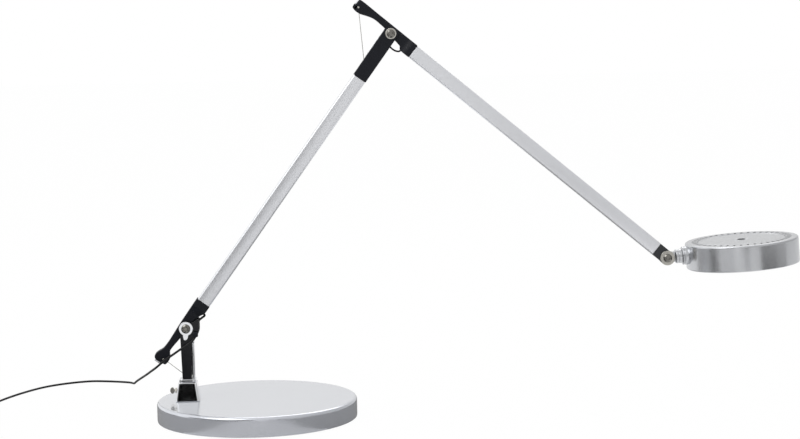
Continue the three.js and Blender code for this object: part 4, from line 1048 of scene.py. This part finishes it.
def makeHead(h):
    makeHousing(h)
    top = h["top"] - 0.3
    r = h["capRadius"]
    cap = rounded([(5.1, top - 1.9), (r, top - 1.9), (r, top), (r - 3.2, top), (r - 3.5, top - 0.25),
                   (r - 3.9, top - 0.25), (r - 4.2, top), (9.6, top), (9.3, top - 0.3), (8.7, top - 0.3),
                   (8.4, top),
                   (5.1, top), (5.1, top - 0.9)], 0.35, 3)
    putHead("headCap", [turned(cap, "z", 192, loop=True)], "head_silver", ["head_cap"])
    crown = top + 0.8
    button = rounded([(0.3, crown - 0.25), (3.4, crown - 0.12), (4.6, crown - 0.6), (4.6, top - 1.1),
                      (1.6, top - 1.1),
                      (1.6, 5.2), (0.3, 5.2)], 0.4, 4)
    putHead("pushButton", [turned(button, "z", 64)], "dark_grey", ["push_button"], "button")
    fins = np.arange(20, 46, 4.0)
    ribs = np.stack([np.stack([fins + d, np.full(len(fins), z)], 1)
                     for d, z in ((0, 3.0), (0.5, 3.8), (1.9, 3.8), (2.4, 3.0))], 1).reshape(-1, 2)
    sink = rounded([(1, 2), (47, 2), (47, 3.8), *ribs[::-1].tolist(), (1, 3.0)], 0.15, 2)
    putHead("heatSink", [turned(sink, "z", 128)], "satin_aluminium", ["heat_sink"])
    board = [turned(rounded([(1, 0.4), (45, 0.4), (45, 1.7), (1, 1.7)], 0.15, 2), "z", 128)]
    for ring, count in ((12, 8), (24, 16), (36, 24)):
        for i in range(count):
            angle = 2 * math.pi * i / count
            chip = squareStack([(1.0, 0.45), (1.4, 0.4), (1.4, -0.1), (1.1, -0.25)], 0.3,
                               (ring * math.cos(angle), ring * math.sin(angle)))
            board.append(chip)
    putHead("ledBoard", board, "board_white", ["led_board"])
    reflector = rounded([(46.5, 1.7), (45.6, 1.7), (56.8, -9.4), (60.6, -9.4), (60.6, -8.4), (57.4, -8.4),
                         (46.5, 1.7)],
                        0.3, 3)[:-1]
    putHead("headReflector", [turned(reflector, "z", 160, loop=True)], "nylon", ["reflector"])
    r = np.linspace(2, 59, 40)
    face = np.stack([r, -12.2 + 0.35 * (1 - (r / 60) ** 2)], 1)
    diffuser = np.concatenate([[(1, -9.7)], rounded([(1, -9.7), (60.6, -9.7), (60.6, -12), (59.5, -12)],
                                                    0.3, 3)[1:-1],
                               face[::-1]])
    putHead("diffuser", [turned(diffuser, "z", 160)], "opal", ["diffuser"])
    bezel = rounded([(60, -13.7), (62.1, -13.7), (62.1, -9), (61, -9), (61, -12.3), (57.4, -12.3),
                     (57.4, -13.7),
                     (60, -13.7)], 0.4, 4)[:-1]
    putHead("bezel", [turned(bezel, "z", 160, loop=True)], "head_silver", ["bezel"])


def makeNeck(h):
    eye = np.concatenate([circle(7.9, (0, 0), 60, 0.8, 2 * math.pi - 0.8), [(11, -5.7), (11, 5.7)]])
    tongue = plate(eye, -4.1, 4.1, [circle(3.4, (0, 0), 40)], 0.6, 4)
    n, s = h["neck"], 17.9
    barrel = rounded([(3, 9.4), (6.4, 9.4), (n, 11), (n, 13.2), (n - 0.6, 13.4), (n - 0.6, 14.2), (n, 14.4),
                      (n, s - 0.3), (4.2, s - 0.3), (4.2, 31), (1.9, 31)], 0.4, 3)
    shells = [tongue, turned(barrel, "x", 96)]
    makePiece("headNeck", [moved(p, wrist, headTurn) for p in shells], "head_silver", "neck", ["head_neck"])
    c, end = h["collar"], h["centre"] - math.sqrt(h["radius"] ** 2 - h["collar"] ** 2) + 0.2
    collar = rounded([(4.6, s), (c - 0.7, s), (c, s + 0.7), (c, s + 1.6), (c - 0.7, s + 1.9),
                      (c - 0.7, s + 2.7),
                      (c, s + 3), (c, end), (4.6, end), (4.6, s + 1)], 0.3, 3)
    makePiece("headCollar", [moved(turned(collar, "x", 96, loop=True), wrist, headTurn)], "head_silver",
              "head",
              ["head_collar"])


makeHead(head)
makeNeck(head)
print("head ready")


# The solids kept from the frame, with their finishes.

keptSlots = {
    "base_weight": "cast_iron", "socket_bolt": "nickel_steel", "post_spigot": "nickel_steel",
    "lower_wire_anchor": "nickel_steel", "upper_wire_anchor": "nickel_steel",
    "lower_spring_anchor": "nylon", "upper_spring_anchor": "nylon",
}
for node, slot in keptSlots.items():
    nodes[node].data.materials.clear()
    nodes[node].data.materials.append(finishes[slot])


# Floor, light and cards.

studio = {"worldLeft": 1.08, "worldRight": 0.55, "key": 20, "rim": 9, "floorTone": 0.86, "floorGlow": 0.985}


def makeFloor(s):
    mesh = bpy.data.meshes.new("floor")
    x, y = np.meshgrid([-6, 6], [-4, 12])
    mesh.from_pydata(np.stack([x, y, 0 * x], -1).reshape(-1, 3).tolist(), [], [(0, 1, 3, 2)])
    floor = bpy.data.objects.new("floor", mesh)
    bpy.context.scene.collection.objects.link(floor)
    paper = bpy.data.materials.new("paper")
    paper.use_nodes = True
    shader = paper.node_tree.nodes["Principled BSDF"]
    tone = s["floorTone"]
    shader.inputs["Base Color"].default_value = (tone, tone, tone * 1.005, 1)
    shader.inputs["Roughness"].default_value = 0.9
    # Seen directly the paper is almost burnt out, with only a trace of shadow.
    tree = paper.node_tree
    sight = addNode(tree, "LightPath").outputs["Is Camera Ray"]
    glow = addNode(tree, "Emission", {"Color": (1, 1, 1, 1), "Strength": 1.0})
    both = addNode(tree, "MixShader", {0: mathNode(tree, "MULTIPLY", sight, s["floorGlow"]),
                                       1: shader.outputs[0],
                                       2: glow.outputs[0]})
    tree.links.new(both.outputs[0], tree.nodes["Material Output"].inputs[0])
    mesh.materials.append(paper)


def areaLight(name, place, target, size, power):
    data = bpy.data.lights.new(name, "AREA")
    data.shape = "RECTANGLE"
    data.size, data.size_y = size
    data.energy = power
    light = bpy.data.objects.new(name, data)
    light.location = place
    light.rotation_euler = (Vector(target) - Vector(place)).to_track_quat("-Z", "Y").to_euler()
    bpy.context.scene.collection.objects.link(light)
    return light


def reflectionCard(name, corners, tone=0.0):
    # A flag of the given brightness that only reflections see, as cards stand round a polished product.
    mesh = bpy.data.meshes.new(name)
    mesh.from_pydata(corners, [], [(0, 1, 2, 3)])
    card = bpy.data.objects.new(name, mesh)
    bpy.context.scene.collection.objects.link(card)
    felt = bpy.data.materials.new(name)
    felt.use_nodes = True
    tree = felt.node_tree
    tree.nodes.clear()
    glow = addNode(tree, "Emission", {"Color": (1, 1, 1, 1), "Strength": tone})
    out = addNode(tree, "OutputMaterial")
    tree.links.new(glow.outputs[0], out.inputs[0])
    mesh.materials.append(felt)
    card.visible_camera = card.visible_diffuse = card.visible_shadow = card.visible_transmission = False


def makeWorld(s):
    world = bpy.data.worlds.new("studio")
    bpy.context.scene.world = world
    world.use_nodes = True
    tree = world.node_tree
    tree.nodes.clear()
    path = addNode(tree, "LightPath")
    way = addNode(tree, "SeparateXYZ", {0: addNode(tree, "TexCoord").outputs["Generated"]}).outputs[0]
    side = addNode(tree, "MapRange", {0: way, 1: -1.0, 2: 1.0, 3: s["worldLeft"], 4: s["worldRight"]})
    strength = addNode(tree, "Mix", {"Factor": path.outputs["Is Camera Ray"], 2: side.outputs[0], 3: 1.0})
    sky = addNode(tree, "Background", {"Color": (1, 1, 1, 1), "Strength": strength.outputs[0]})
    out = addNode(tree, "OutputWorld")
    tree.links.new(sky.outputs[0], out.inputs[0])


makeWorld(studio)
makeFloor(studio)
areaLight("key", (-1.3, -1.2, 2.2), (0.1, 0, 0.2), (1.6, 1.6), studio["key"])
areaLight("rim", (0.6, 1.6, 1.8), (0.1, 0, 0.2), (1.8, 1.0), studio["rim"])
# Cards that stand on end, for the socket and the upper tube.
reflectionCard("frontCard", [(-0.6, -1.2, 0.06), (-0.06, -1.2, 0.06), (-0.06, -1.2, 0.5), (-0.6, -1.2, 0.5)])
reflectionCard("socketCard", [(-0.6, -1.2, 0.03), (-1.0, -0.2, 0.03), (-1.0, -0.2, 0.4),
                              (-0.6, -1.2, 0.4)], 0.12)
reflectionCard("stripeCard", [(0.25, -1.1, 0.05), (0.6, -0.9, 0.05), (0.6, -0.9, 0.2),
                              (0.25, -1.1, 0.2)], 0.2)
reflectionCard("tubeCard", [(0.3, -1, 0.075), (1.1, -1, 0.075), (1.1, -1, 0.6), (0.3, -1, 0.6)], 0.62)
# Cards that lie on the table: in front of the post and base, beside the base, and before the head.
for name, tone, corners in (
    ("postCard", 0.0, [(-0.7, -0.5), (-0.104, -0.5), (-0.084, -0.22), (-0.7, -0.22)]),
    ("baseCard", 0.55, [(-0.08, -0.6), (0.08, -0.6), (0.08, -0.05), (-0.08, -0.05)]),
    ("leftCard", 0.28, [(-0.7, -0.22), (-0.081, -0.22), (-0.081, 0.35), (-0.7, 0.35)]),
    ("rightCard", 0.25, [(0.081, -0.7), (0.4, -0.7), (0.4, 0.35), (0.081, 0.35)]),
    ("headCard", 0.0, [(0.73, -0.33), (1.62, -2.34), (2.81, -1.22), (0.87, -0.2)]),
    ("headSideCard", 0.22, [(0.88, -0.2), (2.82, -1.22), (3.1, -0.14), (0.9, -0.06)]),
):
    reflectionCard(name, [(x, y, 0.001) for x, y in corners], tone)
bpy.context.scene.view_settings.view_transform = "Standard"

print("scene ready")
